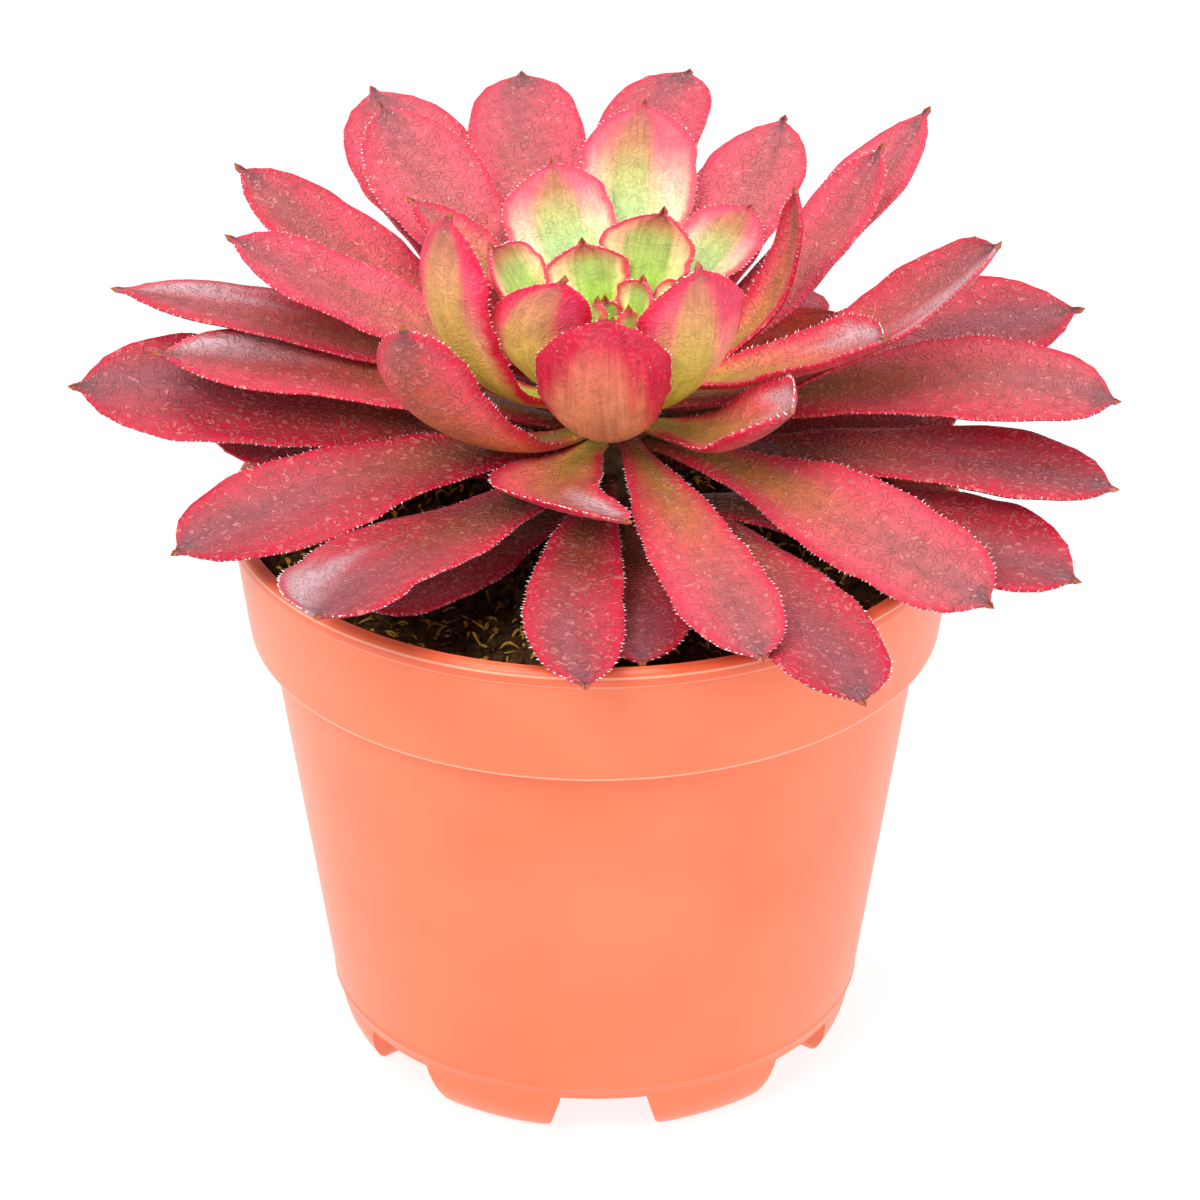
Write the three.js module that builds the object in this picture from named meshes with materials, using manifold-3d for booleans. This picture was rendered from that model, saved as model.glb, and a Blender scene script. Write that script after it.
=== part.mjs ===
// Potted aeonium: a succulent rosette growing in a seven-footed plastic nursery pot.
// Millimetres, +Z up, standing on z = 0. Its front faces -Y and +X is on its right.
import * as THREE from 'three';
import manifold from 'manifold-3d';

const kernel = await manifold();
kernel.setup();
const { Manifold, CrossSection, Mesh } = kernel;

// ------------------------------------------------------------------ driving dimensions
const DEG = Math.PI / 180;

const POT = {
  sides: 56,            // facets round the pot
  wall: 1.5,            // body and band wall
  floorTop: 12.3,       // upper face of the floor
  bodyFoot: [50.4, 10], // radius and height of the body edge between the feet
  mouldLine: [51.4, 12.9],
  bodyTop: 62.6,        // body radius just below the band
  bandFoot: [66.2, 88.6],
  bandTop: [69.0, 109.4],
  lip: [70.0, 110.6],
  rim: 113.0,           // height of the rim
  rimInner: 67.1,
  toe: 44.5,            // radius of a foot on the table
  feet: 7,
  firstFoot: -23.8,     // azimuth of a foot's middle, degrees from the front towards +X
  footGap: 18.5,        // angle left free between two feet
  gapSlant: 2.6,        // how much wider a gap is at the table, per side
  drain: [4.2, 33],     // radius of a drain hole and of the circle they lie on
  drains: 6,
};

const SOIL = { gap: 0.35, edge: 100.6, crown: 104.6, lump: 0.9, rings: 7, sides: 40 };

const AXIS = [4, 0];    // the plant grows a little to the right of the pot's middle
const STEM = { foot: 80, top: 145, footRadius: 9.6, topRadius: 6.0, gap: 0.3, sides: 14 };

const BLADE = {
  stations: [0, 0.09, 0.2, 0.32, 0.44, 0.55, 0.65, 0.74, 0.82, 0.89, 0.945, 0.98, 1],
  across: [-1, -0.55, 0, 0.55, 1],
  baseShare: 0.2,       // width at the stem as a share of the full width
  widest: 0.7,          // where a blade is widest, as a share of its length
  margin: 0.7,          // thickness of the margins
  tipThickness: 0.9,
  upperShare: 0.35,     // share of the thickness that lies above the midrib line
  spine: 0.6,           // half-width of the little point that ends a blade
  clearance: 0.4,       // between a blade and the stem
  youngRoot: 3.2,       // radius where the youngest leaves start, inside the bud
};

// Each leaf: name, azimuth of its base (degrees from the front towards +X), height of its
// base on the stem, length, full width, pitch at the base and at the tip (degrees above
// level), sideways turn along its length, roll, cup (half-angle of its curved section),
// hook (sideways pull of the tip, in half-widths), edge wave (mm) and pointedness (0 to 1).
const LEAVES = [
  // the lowest leaves, close over the soil
  ['leaf_front_1', -46, 115, 57, 22, 4, -8, 0, -8, 10, 0, 0.5, 0.2],
  ['leaf_front_2', 4, 113, 58, 20, 8, -8, 0, 0, 10, 0, 0.5, 0.2],
  ['leaf_left_1', -92, 116.5, 70, 20, 12, 2, 0, -12, 10, 0, 0.5, 0.4],
  ['leaf_right_1', 67, 114, 86, 26, 9, -4, 0, 8, 12, -0.4, 0.5, 0.1],
  ['leaf_front_3', -11, 121.5, 74, 18, 0, -8, 10, 2, 10, 0.4, 0.5, 0.2],
  ['leaf_right_2', 102, 119, 60, 18, 8, 2, 0, 18, 12, 0, 0.5, 0.4],
  ['leaf_front_4', -42, 123, 93, 27, -2, 12, 8, 6, 12, 0.8, 0.5, 0],
  ['leaf_front_5', 28, 117, 86, 26, 12, -16, 0, -8, 10, 0, 0.5, 0],
  ['leaf_left_3', -91, 120, 96, 26, 19, 0, 0, -25, 14, 0, 0.6, 0.3],
  ['leaf_right_3', 81, 123, 88, 22, 6, 0, -5, 5, 12, -0.5, 0.6, 0],
  ['leaf_left_2', -68, 126, 82, 23, 9, -18, 12, -14, 14, -0.4, 0.6, 0.1],
  ['leaf_right_9', 132, 123, 54, 22, 16, 4, 0, 0, 12, 0, 0.5, 0.3],
  ['leaf_right_6', 107, 126.4, 86, 26, 16, 5, 0, 22, 12, -0.2, 0.6, 0.6],
  ['leaf_right_4', 53, 127.5, 80, 21, 5, -19, -6, 22, 12, 0.2, 0.6, 0],
  ['leaf_right_5', 91, 129, 88, 24, 14, 2, -12, 12, 12, -0.5, 0.5, 0],
  ['leaf_front_6', 15, 129.5, 77, 19, 0, -12, 5, 0, 10, 0.1, 0.5, 0],
  ['leaf_left_5', -89, 128.0, 80, 21, 17.5, 6, 0, -7, 14, 0, 0.5, 0.5],
  ['leaf_left_4', -100, 131, 91, 18, 19, 4, 0, -4, 12, 0, 0.5, 0.8],
  ['leaf_back_3', -147, 130, 93, 28, 22, 19, 0, 0, 10, -0.3, 0.8, 0.3],
  ['leaf_back_1', 177, 129.5, 96, 20.5, 26, 13, -1, 12, 10, -0.9, 0.6, 0],
  ['leaf_back_4', 138, 129, 94, 16, 16, 25, 3, 0, 10, 0.1, 0.6, 0.5],
  ['leaf_right_7', 90, 133, 76, 24, 5, 56, -4, 5, 28, -0.6, 0.5, 0.1],
  ['leaf_back_2', -160, 135.8, 88, 23, 22, 14, -16, 0, 10, -0.1, 0.8, 0],
  ['leaf_back_5', 130, 132, 71, 16, 12, 46, 2, 0, 12, 0.1, 0.6, 0.4],
  ['leaf_left_6', -111, 134.5, 78, 20, 16, 40, 0, -12, 12, 0.2, 0.6, 0.4],
  ['leaf_back_6', 149, 136.2, 75, 20, 20, 19, 16, 5, 12, -0.2, 0.6, 0.5],
  ['leaf_left_7', -98, 139.5, 71, 20, 9, 34, 5, -12, 14, 0.2, 0.6, 0.5],
  ['leaf_back_7', -138, 138.3, 73, 24, 20, 31, -3, -3, 12, -0.2, 0.6, 0.4],
  ['leaf_back_8', 175, 138, 65, 23, 26, 26, 0, 0, 14, 0, 0.6, 0.4],
  ['leaf_back_11', 112, 136, 52, 12, 0, 100, 0, 0, 30, 0, 0.4, 0.5],
  ['leaf_back_12', 148, 140.8, 46, 15, 27, 5, 0, 15, 20, 0.2, 0.5, 0.4],
  ['leaf_back_10', -124, 140.6, 46, 12, 33, 26, 0, 0, 20, 0, 0.5, 0.4],
  ['leaf_back_9', -160, 141.3, 45, 22, 33, 24, 0, -4, 20, -0.35, 0.6, 0.8],
  ['leaf_right_8', 78, 138.5, 50, 19, 4, 36, -13, 6, 45, -0.3, 0.4, 0.1],
  ['leaf_right_10', 53, 131, 42, 22, 0, 45, -18, 22, 50, 0, 0.4, 0.1],
  ['leaf_left_8', -50, 130, 63, 20, -5, 80, 0, 30, 50, 0.2, 0.4, 0.3],
  ['leaf_front_7', -28, 128, 40, 22, 0, 10, 10, 5, 20, 2, 0.4, 0.4],
  ['leaf_left_10', -65, 136, 60, 22, 0, 115, 5, 10, 50, 0, 0.5, 0.4],
  ['leaf_heart_1', -4, 134, 50, 27, -4, 105, 0, 4, 45, 0, 0.3, 0.4],
  ['leaf_heart_2', 34, 136.5, 45, 25, 14, 108, 0, -3, 40, 0, 0.3, 0.6],
  ['leaf_heart_3', -37, 139, 42, 21, 9, 105, 6, 12, 40, 0.65, 0.3, 0.5],
  ['leaf_heart_4', -103, 142.5, 27, 20, 33, 68, 0, -8, 35, 0, 0.3, 0.4],
  ['leaf_heart_5', -153, 144.3, 18, 17, 48, 82, -6, -9, 30, 0, 0.3, 0.6],
  ['leaf_heart_6', 156, 143.5, 25, 20, 48, 82, 0, -3, 30, -0.2, 0.3, 0.6],
  // low leaves at the back, out of sight from the front
  ['leaf_back_13', -122, 117.5, 74, 22, 6, -4, 0, 0, 12, 0, 0.5, 0.3],
  ['leaf_back_14', -150, 122.5, 80, 23, 8, -2, 0, 0, 12, 0, 0.5, 0.3],
  ['leaf_back_15', -178, 124.6, 78, 23, 8, -4, 0, 0, 12, 0, 0.5, 0.3],
  ['leaf_back_16', 154, 119, 80, 23, 6, -4, 0, 0, 12, 0, 0.5, 0.3],
];

// The youngest leaves, grown together in the middle: azimuth, height, length, width, pitches.
const HEART = [
  [130, 146, 11.5, 10.5, 60, 85],
  [97, 145.8, 15, 10, 40, 68],
  [-60, 146, 9.5, 5, 75, 95],
  [30, 146, 8.5, 4.5, 70, 92],
  [-150, 146, 7, 6, 70, 92],
  [-10, 146, 6, 4, 75, 95],
];

// ------------------------------------------------------------------------------ helpers
/** Point at a radius and azimuth round the plant's axis. */
function aroundStem(radius, azimuth, z) {
  const a = azimuth * DEG;
  return new THREE.Vector3(AXIS[0] + radius * Math.sin(a), AXIS[1] - radius * Math.cos(a), z);
}

/** Direction of travel at an azimuth and a pitch above level. */
function heading(azimuth, pitch) {
  const a = azimuth * DEG, p = pitch * DEG;
  return new THREE.Vector3(Math.cos(p) * Math.sin(a), -Math.cos(p) * Math.cos(a), Math.sin(p));
}

/** Radius of the stem at a height. */
function stemRadius(z) {
  const share = (z - STEM.foot) / (STEM.top - STEM.foot);
  return THREE.MathUtils.lerp(STEM.footRadius, STEM.topRadius, share);
}

/** A manifold solid from points and triangle indices. */
function solid({ points, triangles }) {
  return new Manifold(new Mesh({
    numProp: 3,
    vertProperties: Float32Array.from(points),
    triVerts: Uint32Array.from(triangles),
  }));
}

/** A mesh node from points and triangle indices. */
function node(name, { points, triangles }, colour) {
  const geometry = new THREE.BufferGeometry();
  geometry.setAttribute('position', new THREE.BufferAttribute(Float32Array.from(points), 3));
  geometry.setIndex(Array.from(triangles));
  geometry.computeVertexNormals();
  const mesh = new THREE.Mesh(geometry, new THREE.MeshStandardMaterial({ color: colour }));
  mesh.name = name;
  return mesh;
}

/** The points and triangles of a manifold solid. */
function facets(shape) {
  const mesh = shape.getMesh();
  return { points: mesh.vertProperties, triangles: mesh.triVerts };
}

/** A solid of revolution about +Z from [radius, height] pairs. */
function turned(profile, sides) {
  return CrossSection.ofPolygons([profile]).revolve(sides);
}

/** A closed tube through rings of equal length, capped by a fan at each end. */
function tube(rings, flipped = () => false) {
  const size = rings[0].length;
  const points = rings.flat().flatMap((p) => [p.x, p.y, p.z]);
  const triangles = [];
  for (let i = 0; i + 1 < rings.length; i++) {
    for (let j = 0; j < size; j++) {
      const a = i * size + j, b = i * size + ((j + 1) % size), c = b + size, d = a + size;
      if (flipped(j)) triangles.push(a, b, d, b, c, d);
      else triangles.push(a, b, c, a, c, d);
    }
  }
  const last = (rings.length - 1) * size;
  for (let j = 1; j + 1 < size; j++) {
    triangles.push(0, j + 1, j, last, last + j, last + j + 1);
  }
  return { points, triangles };
}

// -------------------------------------------------------------------------------- the pot
/** The turned shell: floor, body, tall band and rolled lip. */
function potShell() {
  const { wall, floorTop, bodyFoot, mouldLine, bodyTop, bandFoot, bandTop, lip, rim } = POT;
  const shelf = bandFoot[1] + wall;
  const profile = [
    [0, bodyFoot[1]], bodyFoot, mouldLine, [bodyTop, bandFoot[1]], bandFoot, bandTop, lip,
    [lip[0], rim - 0.9], [lip[0] - 0.7, rim], [POT.rimInner, rim], [POT.rimInner - 0.3, rim - 2.6],
    [bandFoot[0] - wall, shelf], [bodyTop - wall, shelf], [mouldLine[0] - wall, floorTop], [0, floorTop],
  ];
  return turned(profile, POT.sides);
}

/** The ring that carries the shell, turned in at the table, before its gaps are cut. */
function footRing() {
  const [r, z] = POT.bodyFoot;
  const outer = [[POT.toe, 0], [r - 3.8, 1.3], [r - 1.8, 3.8], [r - 0.5, 7], [r, z + 0.5]];
  const inner = [[r - 2.2, z + 0.5], [r - 2.7, 7.4], [r - 4.0, 4.6], [r - 5.8, 2.8], [POT.toe - 3, 1.8]];
  return turned([[POT.toe - 3, 0], ...outer, ...inner], POT.sides);
}

/** The cutter for one gap between two feet, with slanted sides and rounded foot corners. */
function gapCutter(azimuth) {
  const [r, top] = POT.bodyFoot;
  const half = r * Math.tan((POT.footGap / 2) * DEG);
  const side = [[half, top], [half + 0.7 * POT.gapSlant, 2.4], [half + POT.gapSlant, 1], [half + 2 * POT.gapSlant, -1]];
  const outline = [...side.map(([x, z]) => [-x, z]), ...side.slice().reverse()];
  return CrossSection.ofPolygons([outline])
    .extrude(20).rotate([90, 0, 0]).translate([0, -36, 0]).rotate([0, 0, azimuth]);
}

/** The pot: shell and feet in one moulding, with drain holes through the floor. */
function makePot() {
  const pitch = 360 / POT.feet;
  const cutters = [];
  for (let k = 0; k < POT.feet; k++) cutters.push(gapCutter(POT.firstFoot + (k + 0.5) * pitch));
  const [drainRadius, drainCircle] = POT.drain;
  for (let k = 0; k < POT.drains; k++) {
    const a = (k + 0.5) * (360 / POT.drains) * DEG;
    cutters.push(Manifold.cylinder(8, drainRadius, drainRadius, 20)
      .translate([drainCircle * Math.sin(a), -drainCircle * Math.cos(a), POT.bodyFoot[1] - 3]));
  }
  const feet = Manifold.difference([footRing(), ...cutters.slice(0, POT.feet)]);
  return Manifold.difference([Manifold.union(potShell(), feet), ...cutters.slice(POT.feet)]);
}

// ------------------------------------------------------------------------------- the soil
/** Height of the lumpy soil surface at a share of the radius and an angle. */
function soilHeight(share, angle) {
  const mound = THREE.MathUtils.lerp(SOIL.crown, SOIL.edge, share * share);
  const lumps = Math.sin(3 * angle + 9 * share) + Math.sin(7 * angle - 14 * share)
    + Math.sin(12 * angle + 23 * share);
  return mound + (SOIL.lump / 2) * lumps * Math.min(1, 4 * (1 - share));
}

/** The soil: fills the pot inside its wall and holds the foot of the stem in a plain hole. */
function makeSoil() {
  const { wall, floorTop, mouldLine, bodyTop, bandFoot, rimInner, rim } = POT;
  const shelf = bandFoot[1] + wall, gap = SOIL.gap;
  const edge = THREE.MathUtils.mapLinear(SOIL.edge, shelf, rim, bandFoot[0] - wall, rimInner - 0.3) - gap;
  const walls = [
    [mouldLine[0] - wall - gap, floorTop + gap], [bodyTop - wall - gap, shelf + gap],
    [bandFoot[0] - wall - gap, shelf + gap], [edge, SOIL.edge],
  ];
  const top = [];
  for (let k = 1; k < SOIL.rings; k++) top.push(1 - k / SOIL.rings);
  const rings = walls.map(([r, z]) => soilRing(r, () => z));
  for (const share of top) rings.push(soilRing(edge * share, (a) => soilHeight(share, a)));
  const hole = Manifold.cylinder(60, STEM.footRadius + STEM.gap, STEM.footRadius + STEM.gap, 24)
    .translate([AXIS[0], AXIS[1], STEM.foot - STEM.gap]);
  return solid(tube(rings)).subtract(hole);
}

/** One ring of soil points. */
function soilRing(radius, height) {
  const ring = [];
  for (let j = 0; j < SOIL.sides; j++) {
    const a = (2 * Math.PI * j) / SOIL.sides;
    ring.push(new THREE.Vector3(radius * Math.cos(a), radius * Math.sin(a), height(a)));
  }
  return ring;
}

// ------------------------------------------------------------------------------ the plant
/** The stem: a stout tapering stalk with a ridge at each ring of leaf scars. */
function makeStem() {
  const rings = [];
  for (let k = 0; k <= 8; k++) {
    const z = THREE.MathUtils.lerp(STEM.foot, STEM.top, k / 8);
    const r = stemRadius(z) - (k % 2 ? 0.25 : 0);
    const ring = [];
    for (let j = 0; j < STEM.sides; j++) ring.push(aroundStem(r, (360 * j) / STEM.sides, z));
    rings.push(ring);
  }
  return tube(rings);
}

/** Width of a blade at a share of its length, as a share of its full width. */
function outline(t, point) {
  const { baseShare, widest } = BLADE;
  if (t < widest) return baseShare + (1 - baseShare) * Math.sin((Math.PI / 2) * (t / widest)) ** 1.45;
  const fall = Math.min(1, (t - widest) / (0.985 - widest));
  return (1 - fall ** (3 - 1.2 * point)) ** (0.5 + 0.5 * point);
}

/** The closed surface of one leaf, which starts just clear of the stem or at the radius `root`. */
function leafSurface(spec, stations = BLADE.stations, root = null) {
  const [, azimuth, height, length, width, basePitch, tipPitch, bend, roll, cup, hook, wave, point] = spec;
  const thickest = Math.min(2.9, 0.1 * width + 0.5);
  const free = stemRadius(height) + BLADE.clearance + 0.5 * thickest * Math.abs(Math.sin(basePitch * DEG));
  const start = root ?? free;
  const steps = 200;
  const line = [aroundStem(start, azimuth, height)];
  for (let k = 0; k < steps; k++) {
    const t = (k + 0.5) / steps;
    const move = heading(azimuth + bend * t, basePitch + (tipPitch - basePitch) * t);
    line.push(line[k].clone().addScaledVector(move, length / steps));
  }
  const rings = stations.map((t) => {
    const along = heading(azimuth + bend * t, basePitch + (tipPitch - basePitch) * t);
    const a = (azimuth + bend * t) * DEG;
    const turn = new THREE.Quaternion().setFromAxisAngle(along, roll * Math.min(1, 1.6 * t) * DEG);
    const side = new THREE.Vector3(Math.cos(a), Math.sin(a), 0);
    const up = new THREE.Vector3().crossVectors(along, side).applyQuaternion(turn);
    side.applyQuaternion(turn);
    const half = Math.max((width / 2) * outline(t, point), BLADE.spine);
    const curl = Math.max(cup * DEG * Math.min(1, 0.35 + 1.3 * t), 1e-4);
    const pull = (hook * width / 2) * Math.max(0, (t - 0.55) / 0.45) ** 2;
    const spread = Math.max(0, (t - 0.9) / 0.1);
    const spine = THREE.MathUtils.lerp(thickest * (1 - t) ** 1.1 + 1.1 * t, BLADE.tipThickness, spread);
    const skin = BLADE.across.map((u) => {
      const lean = u * curl;
      const ripple = wave * u * u * Math.sin(4.4 * Math.PI * t + 1.9 * u + 0.1 * azimuth);
      const rise = (half * (1 - Math.cos(lean))) / curl + ripple * Math.min(1, 3 * t, 4 * (1 - t));
      const centre = line[Math.round(t * steps)].clone()
        .addScaledVector(side, (half * Math.sin(lean)) / curl + pull)
        .addScaledVector(up, rise);
      const outward = up.clone().multiplyScalar(Math.cos(lean)).addScaledVector(side, -Math.sin(lean));
      const depth = THREE.MathUtils.lerp(spine, BLADE.margin, u * u);
      return [
        centre.clone().addScaledVector(outward, depth * BLADE.upperShare),
        centre.clone().addScaledVector(outward, depth * (BLADE.upperShare - 1)),
      ];
    });
    return [...skin.map(([, lower]) => lower), ...skin.map(([upper]) => upper).reverse()];
  });
  return tube(rings, (j) => j >= BLADE.across.length);
}

/** The heart: the youngest leaves and the bud between them, grown together. */
function makeHeart() {
  const bud = turned([[0, STEM.top + 0.4], [STEM.topRadius, STEM.top + 0.4],
    [STEM.topRadius - 0.6, STEM.top + 3], [2.6, STEM.top + 5.2], [0, STEM.top + 6.2]], 14)
    .translate([AXIS[0], AXIS[1], 0]);
  const stations = [0, 0.3, 0.6, 0.82, 0.95, 1];
  const young = HEART.map(([azimuth, height, length, width, basePitch, tipPitch]) => solid(leafSurface(
    ['', azimuth, height, length, width, basePitch, tipPitch, 0, 0, 40, 0, 0.2, 0.5], stations, BLADE.youngRoot)));
  return Manifold.union([bud, ...young]);
}

// --------------------------------------------------------------------------- the assembly
/** Every piece, moved so that the middle of the whole footprint stands on the origin. */
function makeGroup() {
  const group = new THREE.Group();
  group.name = 'potted_aeonium';
  group.add(node('pot', facets(makePot()), 0xf08765));
  group.add(node('soil', facets(makeSoil()), 0x2b1a10));
  group.add(node('stem', makeStem(), 0x6b4a2c));
  for (const spec of LEAVES) group.add(node(spec[0], leafSurface(spec), 0xc8504f));
  group.add(node('heart', facets(makeHeart()), 0x9dbf4e));

  const middle = new THREE.Box3().setFromObject(group).getCenter(new THREE.Vector3());
  for (const piece of group.children) piece.geometry.translate(-middle.x, -middle.y, 0);
  return group;
}

export default makeGroup();
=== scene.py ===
"""Potted aeonium: a pink, red and green succulent rosette in a moulded plastic nursery pot.

Sizes are written in millimetres and turned to metres where a mesh is made. The plant's own
frame is the pot's: its turning axis is the origin, the front faces -Y and +Z is up.
"""

from __future__ import annotations

import itertools
import logging
import math
from dataclasses import dataclass
from enum import Enum
from typing import Any, Iterable, Sequence

import bpy
import numpy as np
from mathutils import Matrix, Vector

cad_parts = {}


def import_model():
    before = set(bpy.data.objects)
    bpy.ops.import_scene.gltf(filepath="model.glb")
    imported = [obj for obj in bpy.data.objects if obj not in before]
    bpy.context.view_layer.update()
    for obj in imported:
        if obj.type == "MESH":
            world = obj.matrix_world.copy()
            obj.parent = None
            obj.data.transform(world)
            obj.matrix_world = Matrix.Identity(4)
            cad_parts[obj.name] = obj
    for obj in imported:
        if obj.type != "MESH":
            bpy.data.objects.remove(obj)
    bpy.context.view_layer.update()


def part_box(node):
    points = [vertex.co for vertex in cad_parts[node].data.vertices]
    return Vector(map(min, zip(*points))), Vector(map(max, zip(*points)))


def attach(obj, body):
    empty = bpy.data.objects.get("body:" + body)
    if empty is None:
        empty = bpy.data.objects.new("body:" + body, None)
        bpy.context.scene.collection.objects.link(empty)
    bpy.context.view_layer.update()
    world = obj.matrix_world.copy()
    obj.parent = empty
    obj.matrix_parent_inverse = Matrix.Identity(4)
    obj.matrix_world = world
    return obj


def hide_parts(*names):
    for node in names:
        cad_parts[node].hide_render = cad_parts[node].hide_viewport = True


LOG = logging.getLogger("potted_aeonium")
MM = 0.001
Array = np.ndarray
Stops = tuple[tuple[float, str], ...]
Faces = list[tuple[int, ...]]


# ------------------------------------------------------------------------------- helpers
def linear(code: str, alpha: float = 1.0) -> tuple[float, float, float, float]:
    """Turn an sRGB hex colour into a linear one.

    Args:
        code: six hex digits, with or without a leading #.
        alpha: the fourth value.

    Returns:
        Red, green, blue and alpha as Blender's shaders take them.
    """
    digits = code.lstrip("#")
    parts = [int(digits[i:i + 2], 16) / 255 for i in (0, 2, 4)]
    line = [c / 12.92 if c <= 0.04045 else ((c + 0.055) / 1.055) ** 2.4 for c in parts]
    return (line[0], line[1], line[2], alpha)


def smooth(low: float, high: float, value: Array | float) -> Array:
    """Ease from 0 to 1 between two limits.

    Args:
        low: where the ease starts.
        high: where it ends.
        value: what is eased.

    Returns:
        The eased share, 0 to 1.
    """
    share = np.clip((np.asarray(value, float) - low) / (high - low), 0, 1)
    return share * share * (3 - 2 * share)


def ramp(stops: Stops, share: Array) -> Array:
    """Colours read off a row of stops.

    Args:
        stops: share and sRGB hex pairs, in rising order.
        share: where each point lies.

    Returns:
        Linear red, green and blue for each point.
    """
    places = [s for s, _ in stops]
    colours = np.array([linear(c)[:3] for _, c in stops])
    return np.stack([np.interp(share, places, colours[:, k]) for k in range(3)], -1)


def blend(first: Array, second: Array, share: Array) -> Array:
    """Mix two rows of colours by a share for each point."""
    return first + (second - first) * np.asarray(share)[..., None]


def add_node(tree: bpy.types.NodeTree, kind: str, inputs: dict[str | int, Any] | None = None,
             **settings: Any) -> bpy.types.Node:
    """Add one shader node with its settings, values and links.

    Args:
        tree: the material's node tree.
        kind: the node's type name.
        inputs: for each input that isn't left as it is, a value, an output socket, or a node
            that stands for the first output it has in use.
        settings: properties to set on the node.

    Returns:
        The new node.
    """
    made = tree.nodes.new(kind)
    for key, value in settings.items():
        setattr(made, key, value)
    for key, value in (inputs or {}).items():
        if isinstance(value, bpy.types.Node):
            value = next(way for way in value.outputs if way.enabled)
        if isinstance(value, bpy.types.NodeSocket):
            tree.links.new(value, made.inputs[key])
        else:
            made.inputs[key].default_value = value
    return made


def fresh_material(name: str) -> tuple[bpy.types.Material, bpy.types.NodeTree]:
    """Make an empty node material.

    Args:
        name: what the finish is called.

    Returns:
        The material and its tree.
    """
    material = bpy.data.materials.new(name)
    material.use_nodes = True
    material.node_tree.nodes.clear()
    return material, material.node_tree


def colour_stops(made: bpy.types.Node, stops: Stops) -> None:
    """Set the stops of a Color Ramp node.

    Args:
        made: the node.
        stops: share and sRGB hex pairs, in rising order.
    """
    band = made.color_ramp
    while len(band.elements) > 1:
        band.elements.remove(band.elements[-1])
    for k, (share, code) in enumerate(stops):
        element = band.elements[0] if k == 0 else band.elements.new(share)
        element.position = share
        element.color = linear(code)


def make_piece(name: str, points: Array, faces: Iterable[Sequence[int]], finish: bpy.types.Material,
               slot: str, replaces: str | None = None, sharp: float = 60.0) -> bpy.types.Object:
    """Make a mesh piece that rides with the object.

    Args:
        name: the piece's own name.
        points: its corners, in millimetres in the pot's frame.
        faces: corner numbers of each face.
        finish: its material.
        slot: the record's slot for that finish; not used.
        replaces: the solid that it stands for, if it stands for one.
        sharp: the angle from which an edge shows as a crease, in degrees.

    Returns:
        The new object.
    """
    mesh = bpy.data.meshes.new(name)
    placed = (np.asarray(points, float).reshape(-1, 3)) * MM + np.array(pot_axis())
    mesh.from_pydata(placed.tolist(), [], [tuple(f) for f in faces])
    mesh.polygons.foreach_set("use_smooth", [True] * len(mesh.polygons))
    mesh.set_sharp_from_angle(angle=math.radians(sharp))
    mesh.materials.append(finish)
    mesh.update()
    piece = bpy.data.objects.new(name, mesh)
    bpy.context.scene.collection.objects.link(piece)
    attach(piece, "root")
    if replaces:
        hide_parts(replaces)
    LOG.info("%s: %d faces", name, len(mesh.polygons))
    return piece


def pot_axis() -> Vector:
    """The point on the table under the pot's turning axis, in metres."""
    low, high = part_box("pot")
    return Vector(((low.x + high.x) / 2, (low.y + high.y) / 2, 0.0))


def lend(mesh: bpy.types.Mesh, parts: Sequence[dict[tuple[str, str], Array]]) -> None:
    """Store values for each corner of a mesh, for its material to read.

    Args:
        mesh: the mesh.
        parts: for each part of the mesh in turn, rows of values by name and type. The type is
            FLOAT, FLOAT_VECTOR or FLOAT_COLOR.
    """
    for name, kind in parts[0]:
        store = mesh.attributes.new(name, kind, "POINT")
        key = {"FLOAT": "value", "FLOAT_VECTOR": "vector", "FLOAT_COLOR": "color"}[kind]
        values = np.concatenate([part[name, kind] for part in parts])
        store.data.foreach_set(key, np.ascontiguousarray(values, np.float32).ravel())


def gather(shapes: Sequence[tuple[Array, Faces]]) -> tuple[Array, Faces]:
    """Put several shapes into one.

    Args:
        shapes: points and faces of each.

    Returns:
        All the points, and the faces numbered to suit.
    """
    points: list[Array] = []
    faces: Faces = []
    first = 0
    for corners, sides in shapes:
        points.append(corners)
        faces += [tuple(first + k for k in side) for side in sides]
        first += len(corners)
    return np.vstack(points), faces


def point_at(line: Array, run: Array, place: float) -> Array:
    """A point on a line of points.

    Args:
        line: the points.
        run: distance along the line to each of them.
        place: distance to the point that is asked for.

    Returns:
        The point.
    """
    return np.array([np.interp(place, run, line[:, k]) for k in range(3)])


def loft(rings: Array, closed_ends: bool = True) -> Faces:
    """Faces that join rings of equal length into a tube.

    Args:
        rings: shape (number of rings, corners in a ring, 3).
        closed_ends: whether each end gets a face.

    Returns:
        Corner numbers of each face, all facing out.
    """
    count, size = rings.shape[:2]
    faces: Faces = []
    for i in range(count - 1):
        for j in range(size):
            k = (j + 1) % size
            faces.append((i * size + j, i * size + k, (i + 1) * size + k, (i + 1) * size + j))
    if closed_ends:
        faces.append(tuple(range(size - 1, -1, -1)))
        faces.append(tuple((count - 1) * size + j for j in range(size)))
    return faces


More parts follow.
